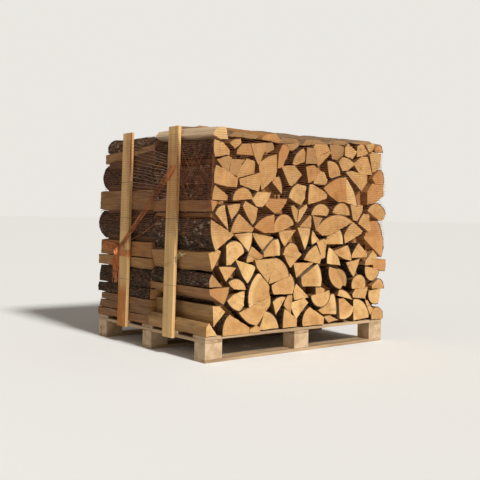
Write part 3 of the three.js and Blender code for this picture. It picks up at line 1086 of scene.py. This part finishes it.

# %% [markdown]
# Slits remain between the logs on the rear left and on the front right edge. Three tall dark logs just
# inside each edge stand for the logs that one would see through them, and their sides carry painted
# shade.

# %% Dark logs behind the edges
CORE_LEVELS = [(136, 400), (405, 700), (705, 1010)]
CORE_END = 0.466


def dark_core(name, left, right, start, end, lift, chance):
    """Tall logs on top of each other between two places across the load, in millimetres."""
    core = []
    for low, high in CORE_LEVELS:
        outline = f"{left} {low}, {left} {high + lift}, {right} {high + lift}, {right} {low}"
        # Their split faces are painted nearly black, as shade.
        core.append(log(outline, 0, "dark", start, end, chance, side_light=0.2))
    return roughen(join(core, name))


left_core = dark_core("rear_logs_behind_left", -562, -500, SEAM + 0.02, CORE_END, 0, chance)
stand_for(left_core, "firewood", "logs_rear_inner")
right_core = dark_core("front_logs_behind_right", 500, 558, -CORE_END, SEAM - 0.02, 20, chance)
stand_for(right_core, "firewood", "logs_front_inner")
print("dark logs behind each edge:", len(CORE_LEVELS))

# %% [markdown]
# The rear slabs are copies of the front ones too, and rise towards the seam like them. On the left they
# give way to one low, bleached slab, and a split log fills the room under the next one.

# %% Slabs on the rear row
FRONT_ONLY = ("log_top_7", "log_top_8")
LOW_SLAB = ("ashen sapwood", 0, -30, -40, 0, "-500 1030, -480 1078, -395 1110, -318 1104, -320 1060")
UNDER_SLAB = "-325 1020, -325 1106, -200 1116, -200 1020"
slabs = [own_logs[name] for name in TOP_FRONT if name not in FRONT_ONLY]
stand_for(turned_copies(slabs, "rear_logs_top"), "firewood", "logs_rear_inner")
low_slab = lay_log("rear_logs_top_left", LOW_SLAB, REAR_SEAM, REAR, True, chance)
# Its split faces carry some painted shade.
under_slab = log(UNDER_SLAB, 0, "dim", SEAM + 0.03, REAR - 0.05, chance, rise=-70, side_light=0.5)
low_slab = join([low_slab, roughen(under_slab)], "rear_logs_top_left")
stand_for(low_slab, "firewood", "logs_rear_inner")

# %% [markdown]
# ## The pallet
# The pallet is plain softwood: three bottom boards, nine blocks, three stringers and five deck boards.
# A cube at each solid's size and place is right in size but far too crisp. A small bevel breaks its
# edges, and a slight relief gives the long boards the waviness of rough sawing. What rests on the
# ground stays flat.

# %% Board finish


def board_wood(name, pale, dark, along, roughness=0.85):
    """Softwood with long grain, knots and saw marks. `along` is the squeeze of the grain on X, Y, Z."""
    material, tree, shader = new_material(name, roughness)
    place = add_node(tree, "ShaderNodeTexCoord").outputs["Object"]
    grain = noise(tree, stretched(tree, place, [v * 28 for v in along]), 1.0, 4.0, 0.65)
    fibres = noise(tree, stretched(tree, place, [v * 150 for v in along]), 1.0, 2.0)
    dirt = noise(tree, stretched(tree, place, (5, 5, 7)), 1.0, 3.0)
    wires = {"Vector": stretched(tree, place, (7, 7, 7)), "Scale": 1.0, "Randomness": 1.0}
    knots = add_node(tree, "ShaderNodeTexVoronoi", wires, feature="F1").outputs[0]
    saw = noise(tree, stretched(tree, place, (40, 40, 260)), 1.0, 1.0)
    colour = mix(tree, steps(tree, grain, 0.38, 0.66), pale, dark)
    colour = stain(tree, steps(tree, fibres, 0.45, 0.7), colour, pale, 0.35)
    colour = stain(tree, steps(tree, dirt, 0.50, 0.72), colour, (0.30, 0.18, 0.09), 0.35)
    knot = math_node(tree, "SUBTRACT", 1.0, steps(tree, knots, 0.06, 0.12))
    colour = mix(tree, times(tree, knot, 0.8), colour, (0.22, 0.09, 0.035))
    colour = mix(tree, times(tree, steps(tree, saw, 0.56, 0.66), 0.15), colour, dark)
    tree.links.new(colour, shader.inputs["Base Color"])
    bump(tree, shader, math_node(tree, "ADD", grain, saw), 0.3, 0.0015)
    return material, tree, shader, colour


LENGTHWISE, ACROSS, UPWARD, STUBBY = (0.06, 1, 1), (1, 0.06, 1), (1, 1, 0.06), (0.5, 1, 0.5)
PALLET_X = board_wood("pallet board", (0.50, 0.36, 0.22), (0.29, 0.19, 0.11), LENGTHWISE)[0]
PALLET_Y = board_wood("pallet stringer", (0.49, 0.35, 0.21), (0.29, 0.19, 0.11), ACROSS)[0]
BLOCK = board_wood("pallet block", (0.60, 0.45, 0.30), (0.42, 0.28, 0.16), STUBBY)[0]
print("pallet finishes:", PALLET_X.name, PALLET_Y.name, BLOCK.name)

# %% One sawn board
WAVY = cloud("rough sawing", 0.12, 1)
BOARD_CREASE = math.radians(20)


def sawn_board(name, size, place, finish, wave=0.003, edge=0.002, step=0.03):
    """A cube of this size with broken edges, steps along its length, and a slight wave."""
    bpy.ops.mesh.primitive_cube_add(size=1, location=place)
    board = bpy.context.object
    board.scale = size
    settle(board)
    bpy.ops.object.mode_set(mode="EDIT")
    bpy.ops.mesh.select_mode(type="EDGE")
    bpy.ops.mesh.select_all(action="SELECT")
    bpy.ops.mesh.bevel(offset=edge, segments=2)
    longest = max(range(3), key=lambda k: size[k])
    bpy.ops.mesh.select_all(action="DESELECT")
    mesh = bmesh.from_edit_mesh(board.data)
    for e in mesh.edges:
        run = e.verts[1].co - e.verts[0].co
        e.select = abs(run[longest]) > 0.9 * (size[longest] - 2 * edge)
    bmesh.update_edit_mesh(board.data)
    bpy.ops.mesh.subdivide(number_cuts=max(1, round(size[longest] / step)))
    bpy.ops.object.mode_set(mode="OBJECT")
    board.data.materials.append(finish)
    push = board.modifiers.new("sawing", "DISPLACE")
    push.texture, push.texture_coords, push.strength = WAVY, "GLOBAL", wave
    bpy.ops.object.modifier_apply(modifier=push.name)
    for vert in board.data.vertices:
        vert.co.z = max(vert.co.z, 0.0)
    bpy.ops.object.shade_smooth_by_angle(angle=BOARD_CREASE)
    board.name = board.data.name = name
    return board


print("boards get a point every 30 mm")

# %% The pallet's boards and blocks
PALLET_FINISH = {"bottom": PALLET_X, "deck": PALLET_X, "block": BLOCK, "stringer": PALLET_Y}


def pallet_piece(node):
    """A board or block that is exactly as large as its CAD solid."""
    low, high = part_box(node)
    size, place = high - low, (low + high) / 2
    piece = sawn_board(node + "_wood", size, place, PALLET_FINISH[node.split("_")[0]])
    stand_for(piece, "pallet_wood", node)
    return piece


pallet_nodes = [node for node in sorted(frame["nodes"]) if node.split("_")[0] in PALLET_FINISH]
pallet = [pallet_piece(node) for node in pallet_nodes]
print("pallet pieces:", len(pallet))

# %% [markdown]
# ## The battens
# Each batten is a sawn lath a metre long, nailed to the pallet and leaning in a little with the load.
# The far one has a red streak of bark down its near edge and an orange stain at its foot. Both are
# painted by height and depth in the material, because they follow the batten and not the light.

# %% Batten finish
BATTEN_BACK = -0.601
BATTEN_FOOT, BATTEN_LENGTH, BATTEN_LEAN = 0.084, 1.016, math.asin(26 / 1016)
BATTEN_WIDTH, BATTEN_THICK = 0.086, 0.017
THREAD_LINES = (0.335, 0.655, 0.842)


def between(tree, value, low, high, soft):
    """1 between low and high, and 0 outside, with edges of the given softness."""
    rise = steps(tree, value, low - soft, low + soft)
    fall = steps(tree, value, high - soft, high + soft)
    return math_node(tree, "SUBTRACT", rise, fall)


def orange_foot(tree, place, deep, high, colour):
    """Blotches of orange stain on the outer face, up to a third of a metre."""
    outer_face = steps(tree, deep, 0.1855, 0.188)
    blotch = steps(tree, noise(tree, stretched(tree, place, (30, 30, 9)), 1.0, 4.0), 0.15, 0.48)
    foot = math_node(tree, "SUBTRACT", 1.0, steps(tree, high, 0.25, 0.345))
    foot = times(tree, times(tree, foot, blotch), outer_face)
    return mix(tree, times(tree, foot, 0.9), colour, (0.46, 0.150, 0.03))


def red_streak(tree, wide, deep, high, colour):
    """A streak of bark down the near edge of the upper part, which leans with the batten."""
    outer_plane = math_node(tree, "ADD", times(tree, high, -math.tan(BATTEN_LEAN)), 0.6202)
    behind = math_node(tree, "ADD", wide, outer_plane)
    streak = between(tree, deep, 0.180, 0.1925, 0.001)
    streak = times(tree, streak, math_node(tree, "SUBTRACT", 1.0, steps(tree, behind, 0.004, 0.007)))
    streak = times(tree, streak, steps(tree, high, 0.84, 0.92))
    return mix(tree, times(tree, streak, 0.85), colour, (0.30, 0.065, 0.02))


def batten_finish(name, stained):
    material, tree, shader, colour = board_wood(name, (0.76, 0.50, 0.225), (0.55, 0.33, 0.13), UPWARD)
    place = add_node(tree, "ShaderNodeTexCoord").outputs["Object"]
    wide, deep, high = add_node(tree, "ShaderNodeSeparateXYZ", {0: place}).outputs
    for height in THREAD_LINES:
        line = between(tree, high, height - 0.0012, height + 0.0012, 0.0008)
        colour = mix(tree, times(tree, line, 0.7), colour, (0.14, 0.06, 0.03))
    if stained:
        colour = orange_foot(tree, place, deep, high, colour)
        colour = red_streak(tree, wide, deep, high, colour)
    else:
        rub = between(tree, high, 0.68, 1.01, 0.03)
        colour = mix(tree, times(tree, rub, 0.30), colour, (0.55, 0.22, 0.07))
    tree.links.new(colour, shader.inputs["Base Color"])
    return material


print("thread lines on the battens at", THREAD_LINES)

# %% The battens


def batten(node, middle, stained):
    """A board that stands upright, and is then leant inwards about the back of its foot."""
    size = (BATTEN_THICK, BATTEN_WIDTH, BATTEN_LENGTH)
    place = (BATTEN_BACK - BATTEN_THICK / 2, middle, BATTEN_FOOT + BATTEN_LENGTH / 2)
    finish = batten_finish(node + " wood", stained)
    piece = sawn_board(node + "_wood", size, place, finish, wave=0.0015, edge=0.0015)
    there = Matrix.Translation((BATTEN_BACK, 0, BATTEN_FOOT))
    back = Matrix.Translation((-BATTEN_BACK, 0, -BATTEN_FOOT))
    piece.data.transform(there @ Matrix.Rotation(BATTEN_LEAN, 4, "Y") @ back)
    stand_for(piece, "batten_wood", node)
    return piece


batten("batten_near", -0.209, stained=False)
batten("batten_far", 0.228, stained=True)
print("battens lean by", round(math.degrees(BATTEN_LEAN), 2), "degrees")

# %% [markdown]
# ## The net
# The net is knitted from thread hardly thicker than a hair and drawn so tight that its rows lie nearly
# level. It touches the logs and battens only where they stand out, so the load is measured first, level
# by level. Each row is then a ring of a few points moved out to those places. Noise makes the rows wave
# and touch, and turning the edges into a curve gives them a round section.

# %% Net material


def thread_finish(name, bright, dark):
    """Thread that is paler in some patches and darker in others."""
    material, tree, shader = new_material(name, 0.7)
    place = add_node(tree, "ShaderNodeTexCoord").outputs["Object"]
    patch = noise(tree, place, 14.0, 3.0)
    tree.links.new(mix(tree, steps(tree, patch, 0.40, 0.62), dark, bright), shader.inputs["Base Color"])
    return material


NET_THREAD = thread_finish("net thread", (0.40, 0.15, 0.06), (0.22, 0.075, 0.033))
NET_BUNCH = thread_finish("gathered net", (0.74, 0.29, 0.11), (0.50, 0.155, 0.05))
NET_ROPE = thread_finish("net rope", (0.52, 0.18, 0.06), (0.28, 0.085, 0.032))
TWINE = thread_finish("twine", (0.80, 0.68, 0.40), (0.45, 0.33, 0.16))
print("thread finishes:", NET_THREAD.name, NET_BUNCH.name, NET_ROPE.name, TWINE.name)

# %% Where the net touches
LEVELS = np.arange(0.57, 1.09, 0.01)
FRONT_ENDS, REAR_ENDS = (-1, -0.40), (0.35, 1)
PAST = 0.001


def points_of(pieces, low, high):
    """The corner points of these pieces between two depths, as rows of X, Y and Z."""
    found = np.concatenate([read_rows(piece.data.vertices, "co") for piece in pieces])
    return found[(found[:, 1] > low) & (found[:, 1] < high)]


def reach(points, axis, way):
    """How far the points reach at each level, evened out as a tight net would do it."""
    found, last = [], 0.0
    for level in LEVELS:
        near = points[np.abs(points[:, 2] - level) < 0.007][:, axis]
        last = way * np.max(way * near) if len(near) else last
        found.append(last)
    padded = np.concatenate([[found[0]], found, [found[-1]]])
    return np.convolve(padded, [0.25, 0.5, 0.25], "valid")


right_edge = [piece for name, piece in front_inner.items() if name.endswith("_edge")]
left_front = [own_logs[name] for name in LEFT_FRONT]
left_rear = [own_logs[name] for name in LEFT_REAR]
rear_right = [bpy.data.objects["rear_logs_right_column"]]
REACH = {
    "front left x": reach(points_of(left_front, *FRONT_ENDS), 0, -1) - PAST,
    "front right x": reach(points_of(right_edge, *FRONT_ENDS), 0, 1) - PAST,
    "rear left x": reach(points_of(left_rear, *REAR_ENDS), 0, -1) - PAST,
    "rear left y": reach(points_of(left_rear, *REAR_ENDS), 1, 1) + PAST,
    "rear right x": reach(points_of(rear_right, *REAR_ENDS), 0, 1) + PAST,
}
print({name: (round(min(v), 3), round(max(v), 3)) for name, v in REACH.items()})

# %% One row of the net
ROW_PITCH, LOWEST_ROW, HIGHEST_ROW = 0.0098, 0.588, 1.066
THREAD_RADIUS = 0.00055
BATTEN_EDGES = (-0.253, -0.165, 0.184, 0.272)


def net_plan(height):
    """The corners of the net at this height, with the battens it is drawn over on the left."""
    at = {name: float(np.interp(height, LEVELS, values)) for name, values in REACH.items()}
    outer_face = BATTEN_BACK - BATTEN_THICK - 0.002 + (height - BATTEN_FOOT) * math.tan(BATTEN_LEAN)
    return [
        Vector((at["front left x"], -0.517)),
        *(Vector((outer_face, y)) for y in BATTEN_EDGES),
        Vector((at["rear left x"], at["rear left y"])),
        Vector((at["rear right x"], 0.512)),
        Vector((at["front right x"], -0.513)),
    ]


def net_row(height):
    """A ring of points that are moved to where the net touches, with its long edges divided."""
    plan = net_plan(height)
    bpy.ops.mesh.primitive_circle_add(vertices=len(plan), radius=1, location=(0, 0, 0))
    ring = bpy.context.object
    bpy.ops.object.mode_set(mode="EDIT")
    mesh = bmesh.from_edit_mesh(ring.data)
    mesh.verts.ensure_lookup_table()
    for vert, point in zip(mesh.verts, plan):
        vert.co = (point.x, point.y, height)
    bmesh.update_edit_mesh(ring.data)
    bpy.ops.mesh.select_mode(type="EDGE")
    even_out_edges(ring, 0.024)
    bpy.ops.object.mode_set(mode="OBJECT")
    return ring


def edges_to_thread(piece, radius, finish, name):
    """Gives a chain of edges a round section, and makes it a mesh again."""
    only(piece)
    bpy.ops.object.convert(target="CURVE")
    piece = bpy.context.object
    piece.data.bevel_depth = radius
    piece.data.bevel_resolution = 0
    piece.data.use_fill_caps = True
    bpy.ops.object.convert(target="MESH")
    piece = bpy.context.object
    piece.data.materials.clear()
    piece.data.materials.append(finish)
    bpy.ops.object.shade_smooth()
    piece.name = piece.data.name = name
    return piece


def shake(piece, title, size, strength, axis="Z"):
    """Pushes the points to and fro along one axis, by a noise of this size."""
    only(piece)
    push = piece.modifiers.new(title, "DISPLACE")
    push.texture = cloud("net " + title, size, 1)
    push.texture_coords = "GLOBAL"
    push.direction = axis
    push.strength = strength
    bpy.ops.object.modifier_apply(modifier=push.name)


print("corners of the net at its foot:", len(net_plan(LOWEST_ROW)))

# %% The rows of the net
heights = np.arange(LOWEST_ROW, HIGHEST_ROW, ROW_PITCH)
rows = join([net_row(height) for height in heights], "net_rows")
shake(rows, "sag", 0.40, 0.022)
shake(rows, "jitter", 0.045, 0.012)
net = edges_to_thread(rows, THREAD_RADIUS, NET_THREAD, "net_rows")
stand_for(net, "net_thread", "net")
print("net rows:", len(heights), "faces:", len(net.data.polygons))

# %% [markdown]
# On the left side, between the near batten and the log ends, the knit is pulled out of line, and its
# threads cross each other. These are straight threads between two heights, so each is one edge that is
# divided and shaken like the rows.

# %% Crossing threads
NEAR_CORNER, BATTEN_SIDE = -0.512, -0.254
HIGHEST_KNOT = 1.05


def thread_between(ends):
    """A chain of edges from one point to the next, starting from a single edge of a plane."""
    bpy.ops.mesh.primitive_plane_add(size=1, location=(0, 0, 0))
    piece = bpy.context.object
    bpy.ops.object.mode_set(mode="EDIT")
    bpy.ops.mesh.select_mode(type="VERT")
    mesh = bmesh.from_edit_mesh(piece.data)
    mesh.verts.ensure_lookup_table()
    bmesh.ops.delete(mesh, geom=list(mesh.verts)[2:], context="VERTS")
    mesh.verts.ensure_lookup_table()
    for vert, point in zip(mesh.verts, ends):
        vert.co = point
    bmesh.update_edit_mesh(piece.data)
    bpy.ops.mesh.select_mode(type="EDGE")
    even_out_edges(piece, 0.022)
    bpy.ops.object.mode_set(mode="OBJECT")
    return piece


def side_point(depth, height):
    """A point on the net's left side, just outside its rows."""
    plan = net_plan(height)
    ys = [p.y for p in plan[:6]]
    xs = [p.x for p in plan[:6]]
    return Vector((np.interp(depth, ys, xs) - 0.0012, depth, height))


chance = random.Random(5)
crossing = []
for k in range(34):
    depth = max(NEAR_CORNER, min(BATTEN_SIDE, -0.20 - 0.36 * k / 34))
    low = 0.70 + chance.uniform(0.0, 0.12)
    length = chance.uniform(0.12, 0.24)
    lean = length * 0.75 + chance.uniform(-0.02, 0.02)
    for way in (1, -1):
        far = max(NEAR_CORNER, min(BATTEN_SIDE, depth + way * lean))
        high = min(HIGHEST_KNOT, low + length)
        crossing.append(thread_between([side_point(depth, low), side_point(far, high)]))
crossing = join(crossing, "net_crossing_threads")
shake(crossing, "cross jitter", 0.05, 0.010, "Y")
crossing = edges_to_thread(crossing, 0.8 * THREAD_RADIUS, NET_THREAD, "net_crossing_threads")
stand_for(crossing, "net_thread", "net")
print("crossing threads:", len(crossing.data.polygons), "faces")

# %% [markdown]
# Between the two battens the net is drawn down to where it is gathered. Its rows bunch in twos and
# threes there and slope towards the near batten, steeper the higher they start.

# %% Rows drawn down between the battens
NET_DRAWN = thread_finish("drawn net", (0.50, 0.300, 0.200), (0.28, 0.155, 0.100))
drawn = []
for share in np.linspace(0, 1, 15):
    high = 0.770 + 0.275 * share + chance.uniform(-0.004, 0.004)
    low = 0.745 + 0.215 * share + chance.uniform(-0.004, 0.004)
    drawn.append(thread_between([side_point(0.20, high), side_point(-0.18, low)]))
drawn = join(drawn, "net_drawn_rows")
shake(drawn, "drawn jitter", 0.06, 0.010)
drawn = edges_to_thread(drawn, 1.8 * THREAD_RADIUS, NET_DRAWN, "net_drawn_rows")
stand_for(drawn, "net_thread", "net")
print("drawn rows:", len(drawn.data.polygons), "faces")

# %% [markdown]
# ## The tie
# The slack of the net is gathered at the near batten, drawn down as a loose rope of threads to the far
# one, knotted round it, and left to hang in a frayed tail. Strands that twist round one another look
# right for all three. A single thick tube would look like a hose.

# %% Strands
STRAND_POINTS = 36


def strand(points, radius, finish, name):
    """A thread through these points."""
    chain = thread_between([points[0], points[-1]])
    only(chain)
    run = [Vector(p) for p in points]
    ordered = sorted(chain.data.vertices, key=lambda v: (v.co - run[0]).length)
    spans = [(b - a).length for a, b in zip(run, run[1:])]
    along = np.concatenate([[0], np.cumsum(spans)])
    for vert, at in zip(ordered, np.linspace(0, along[-1], len(ordered))):
        vert.co = [np.interp(at, along, [p[k] for p in run]) for k in range(3)]
    return edges_to_thread(chain, radius, finish, name)


def twisted(path, spread, turns, phase, chance):
    """Points that wind round a path, at a distance that the spread gives at each end."""
    out = []
    for k in range(STRAND_POINTS):
        share = k / (STRAND_POINTS - 1)
        at = share * (len(path) - 1)
        place = [np.interp(at, range(len(path)), [p[axis] for p in path]) for axis in range(3)]
        angle = phase + 2 * math.pi * turns * share
        width = spread[0] + (spread[1] - spread[0]) * share + chance.uniform(-0.0008, 0.0008)
        flat = Vector((0, 0.63, 0.78)) * math.cos(angle) * width
        out.append(Vector(place) + flat - Vector((1, 0, 0)) * math.sin(angle) * width * 0.25)
    return out


print("points along a twisted strand:", STRAND_POINTS)

# %% The gathered rope
ROPE_PATH = [
    (-0.6025, -0.215, 0.893), (-0.6035, -0.165, 0.850), (-0.6065, 0.010, 0.704),
    (-0.6110, 0.184, 0.558), (-0.6125, 0.262, 0.498), (-0.6140, 0.290, 0.480),
]
GATHER_PATH = [(-0.6015, -0.240, 0.912), (-0.6025, -0.205, 0.884), (-0.6035, -0.160, 0.846)]
LOOSE_STRANDS = [
    (0.0014, [(-0.606, -0.168, 0.668), (-0.611, 0.03, 0.580), (-0.617, 0.272, 0.497)]),
    (0.0012, [(-0.606, 0.02, 0.705), (-0.612, 0.13, 0.60), (-0.618, 0.276, 0.50)]),
]


def bundle(path, spread, turns, count, radius, finish):
    """Strands round one path, each with its own number of turns."""
    strands = []
    for phase in np.linspace(0, 2 * math.pi, count):
        points = twisted(path, spread, chance.uniform(*turns), phase, chance)
        strands.append(strand(points, radius, finish, "rope strand"))
    return strands


chance = random.Random(21)
rope = bundle(ROPE_PATH, (0.021, 0.008), (0.3, 0.8), 20, 0.0008, NET_ROPE)
rope += bundle(GATHER_PATH, (0.004, 0.016), (0.2, 0.6), 12, 0.0009, NET_BUNCH)
rope += [strand(path, radius, NET_ROPE, "rope strand") for radius, path in LOOSE_STRANDS]
print("strands in the rope:", len(rope))
rope = join(rope, "net_gathered_rope")
stand_for(rope, "net_thread", "net_tie")

# %% [markdown]
# The knot is two crooked loops, one over the other. A real knot could be tied along a path, but at this
# size only its bulk shows, so each loop is a ring that noise pulls out of round.

# %% The knot
KNOT = Vector((-0.6140, 0.293, 0.478))
KNOT_LOOPS = [
    (0.0125, 0.0052, KNOT, (0.5, math.pi / 2, 0.2)),
    (0.0105, 0.0048, KNOT - Vector((0.002, 0, 0.007)), (1.4, 0.5, 0.2)),
]
loops = []
for across, thick, place, turn in KNOT_LOOPS:
    bpy.ops.mesh.primitive_torus_add(
        major_segments=28, minor_segments=10, major_radius=across, minor_radius=thick,
        location=place, rotation=turn,
    )
    loops.append(settle(bpy.context.object))
    loops[-1].data.materials.append(NET_BUNCH)
knot = join(loops, "net_knot")
shake(knot, "knot", 0.012, 0.004)
only(knot)
bpy.ops.object.shade_smooth()
stand_for(knot, "net_thread", "net_tie")
print("knot:", len(knot.data.polygons), "faces")

# %% [markdown]
# Below the knot the threads hang apart, each with its own length, slack and curl. Others fan out over
# the log to the left of the knot, because the net is drawn together from there as well.

# %% The frayed tail
TAIL_RADIUS = 0.0008


def hanging_thread(side):
    """A thread that hangs from the knot, and curls to one side first."""
    slack = chance.uniform(-0.022, 0.020)
    drop = chance.uniform(0.06, 0.17)
    curl = chance.uniform(0.006, 0.018) * side
    top = KNOT + Vector((chance.uniform(-0.003, 0.003), chance.uniform(-0.010, 0.014), -0.004))
    middle = top + Vector((chance.uniform(-0.002, 0.010), 0.010 + slack + curl, -0.55 * drop))
    end = top + Vector((chance.uniform(0.0, 0.012), 0.018 + 1.1 * slack, -drop))
    bow = (top + middle) / 2 + Vector((0, curl * 0.6, 0))
    return strand([top, bow, middle, end], TAIL_RADIUS, NET_BUNCH, "tail thread")


def fan_thread(share):
    """A thread that runs from the knot to the left, higher up as the share grows."""
    start = KNOT + Vector((0.004, -0.008 * share, 0.004 + 0.018 * share))
    out = 0.12 + chance.uniform(0.0, 0.09)
    lift = 0.004 + 0.024 * share + chance.uniform(-0.006, 0.006)
    bends = [(0.012, 0.034, 0.4 * lift), (0.0185, 0.070, 0.7 * lift), (0.0185, out, lift)]
    path = [start] + [start + Vector(bend) for bend in bends]
    return strand(path, TAIL_RADIUS, NET_BUNCH, "fan thread")


tail = [hanging_thread(1 if k % 2 else -1) for k in range(44)]
tail += [fan_thread(k / 29) for k in range(30)]
tail = join(tail, "net_frayed_tail")
shake(tail, "tail curl", 0.022, 0.012, "Y")
stand_for(tail, "net_thread", "net_tie")
print("rope and tail:", [len(piece.data.polygons) for piece in (rope, tail)], "faces")

# %% [markdown]
# The tie goes once round the far batten, as a flat band of strands side by side. The twine on the near
# batten is a stiffer, paler string: one strand across the batten, and two that stick out as a loop.

# %% The band round the far batten
BAND_FOOT, BAND_PITCH = 0.452, 0.0042
BAND_PATH = [
    (-0.590, 0.180, 0), (-0.611, 0.181, 0), (-0.6115, 0.230, 0.002), (-0.6118, 0.268, 0.004),
    (-0.6165, 0.290, 0.007),
]
band = []
for k in range(9):
    height = BAND_FOOT + BAND_PITCH * k + chance.uniform(-0.001, 0.001)
    points = [(x, y, height + rise) for x, y, rise in BAND_PATH]
    band.append(strand(points, 0.0013, NET_BUNCH, "band strand"))
band = join(band, "net_band_round_batten")
stand_for(band, "net_thread", "net_tie")
print("band:", len(band.data.polygons), "faces")

# %% The twine on the near batten
TWINE_PATHS = [
    [
        (-0.5960, -0.300, 0.478), (-0.5975, -0.272, 0.492), (-0.6085, -0.2545, 0.468),
        (-0.6115, -0.235, 0.452), (-0.6118, -0.200, 0.436), (-0.6118, -0.168, 0.420),
    ],
    [
        (-0.5965, -0.330, 0.492), (-0.5975, -0.290, 0.486), (-0.6000, -0.2545, 0.455),
        (-0.6112, -0.250, 0.440),
    ],
    [
        (-0.6000, -0.2545, 0.448), (-0.6035, -0.262, 0.470), (-0.5985, -0.285, 0.496),
        (-0.5965, -0.310, 0.480),
    ],
]
twine = [strand(path, 0.0017, TWINE, "twine strand") for path in TWINE_PATHS]
twine = join(twine, "twine_loop")
stand_for(twine, "twine_thread", "twine")
print("twine:", len(twine.data.polygons), "faces")
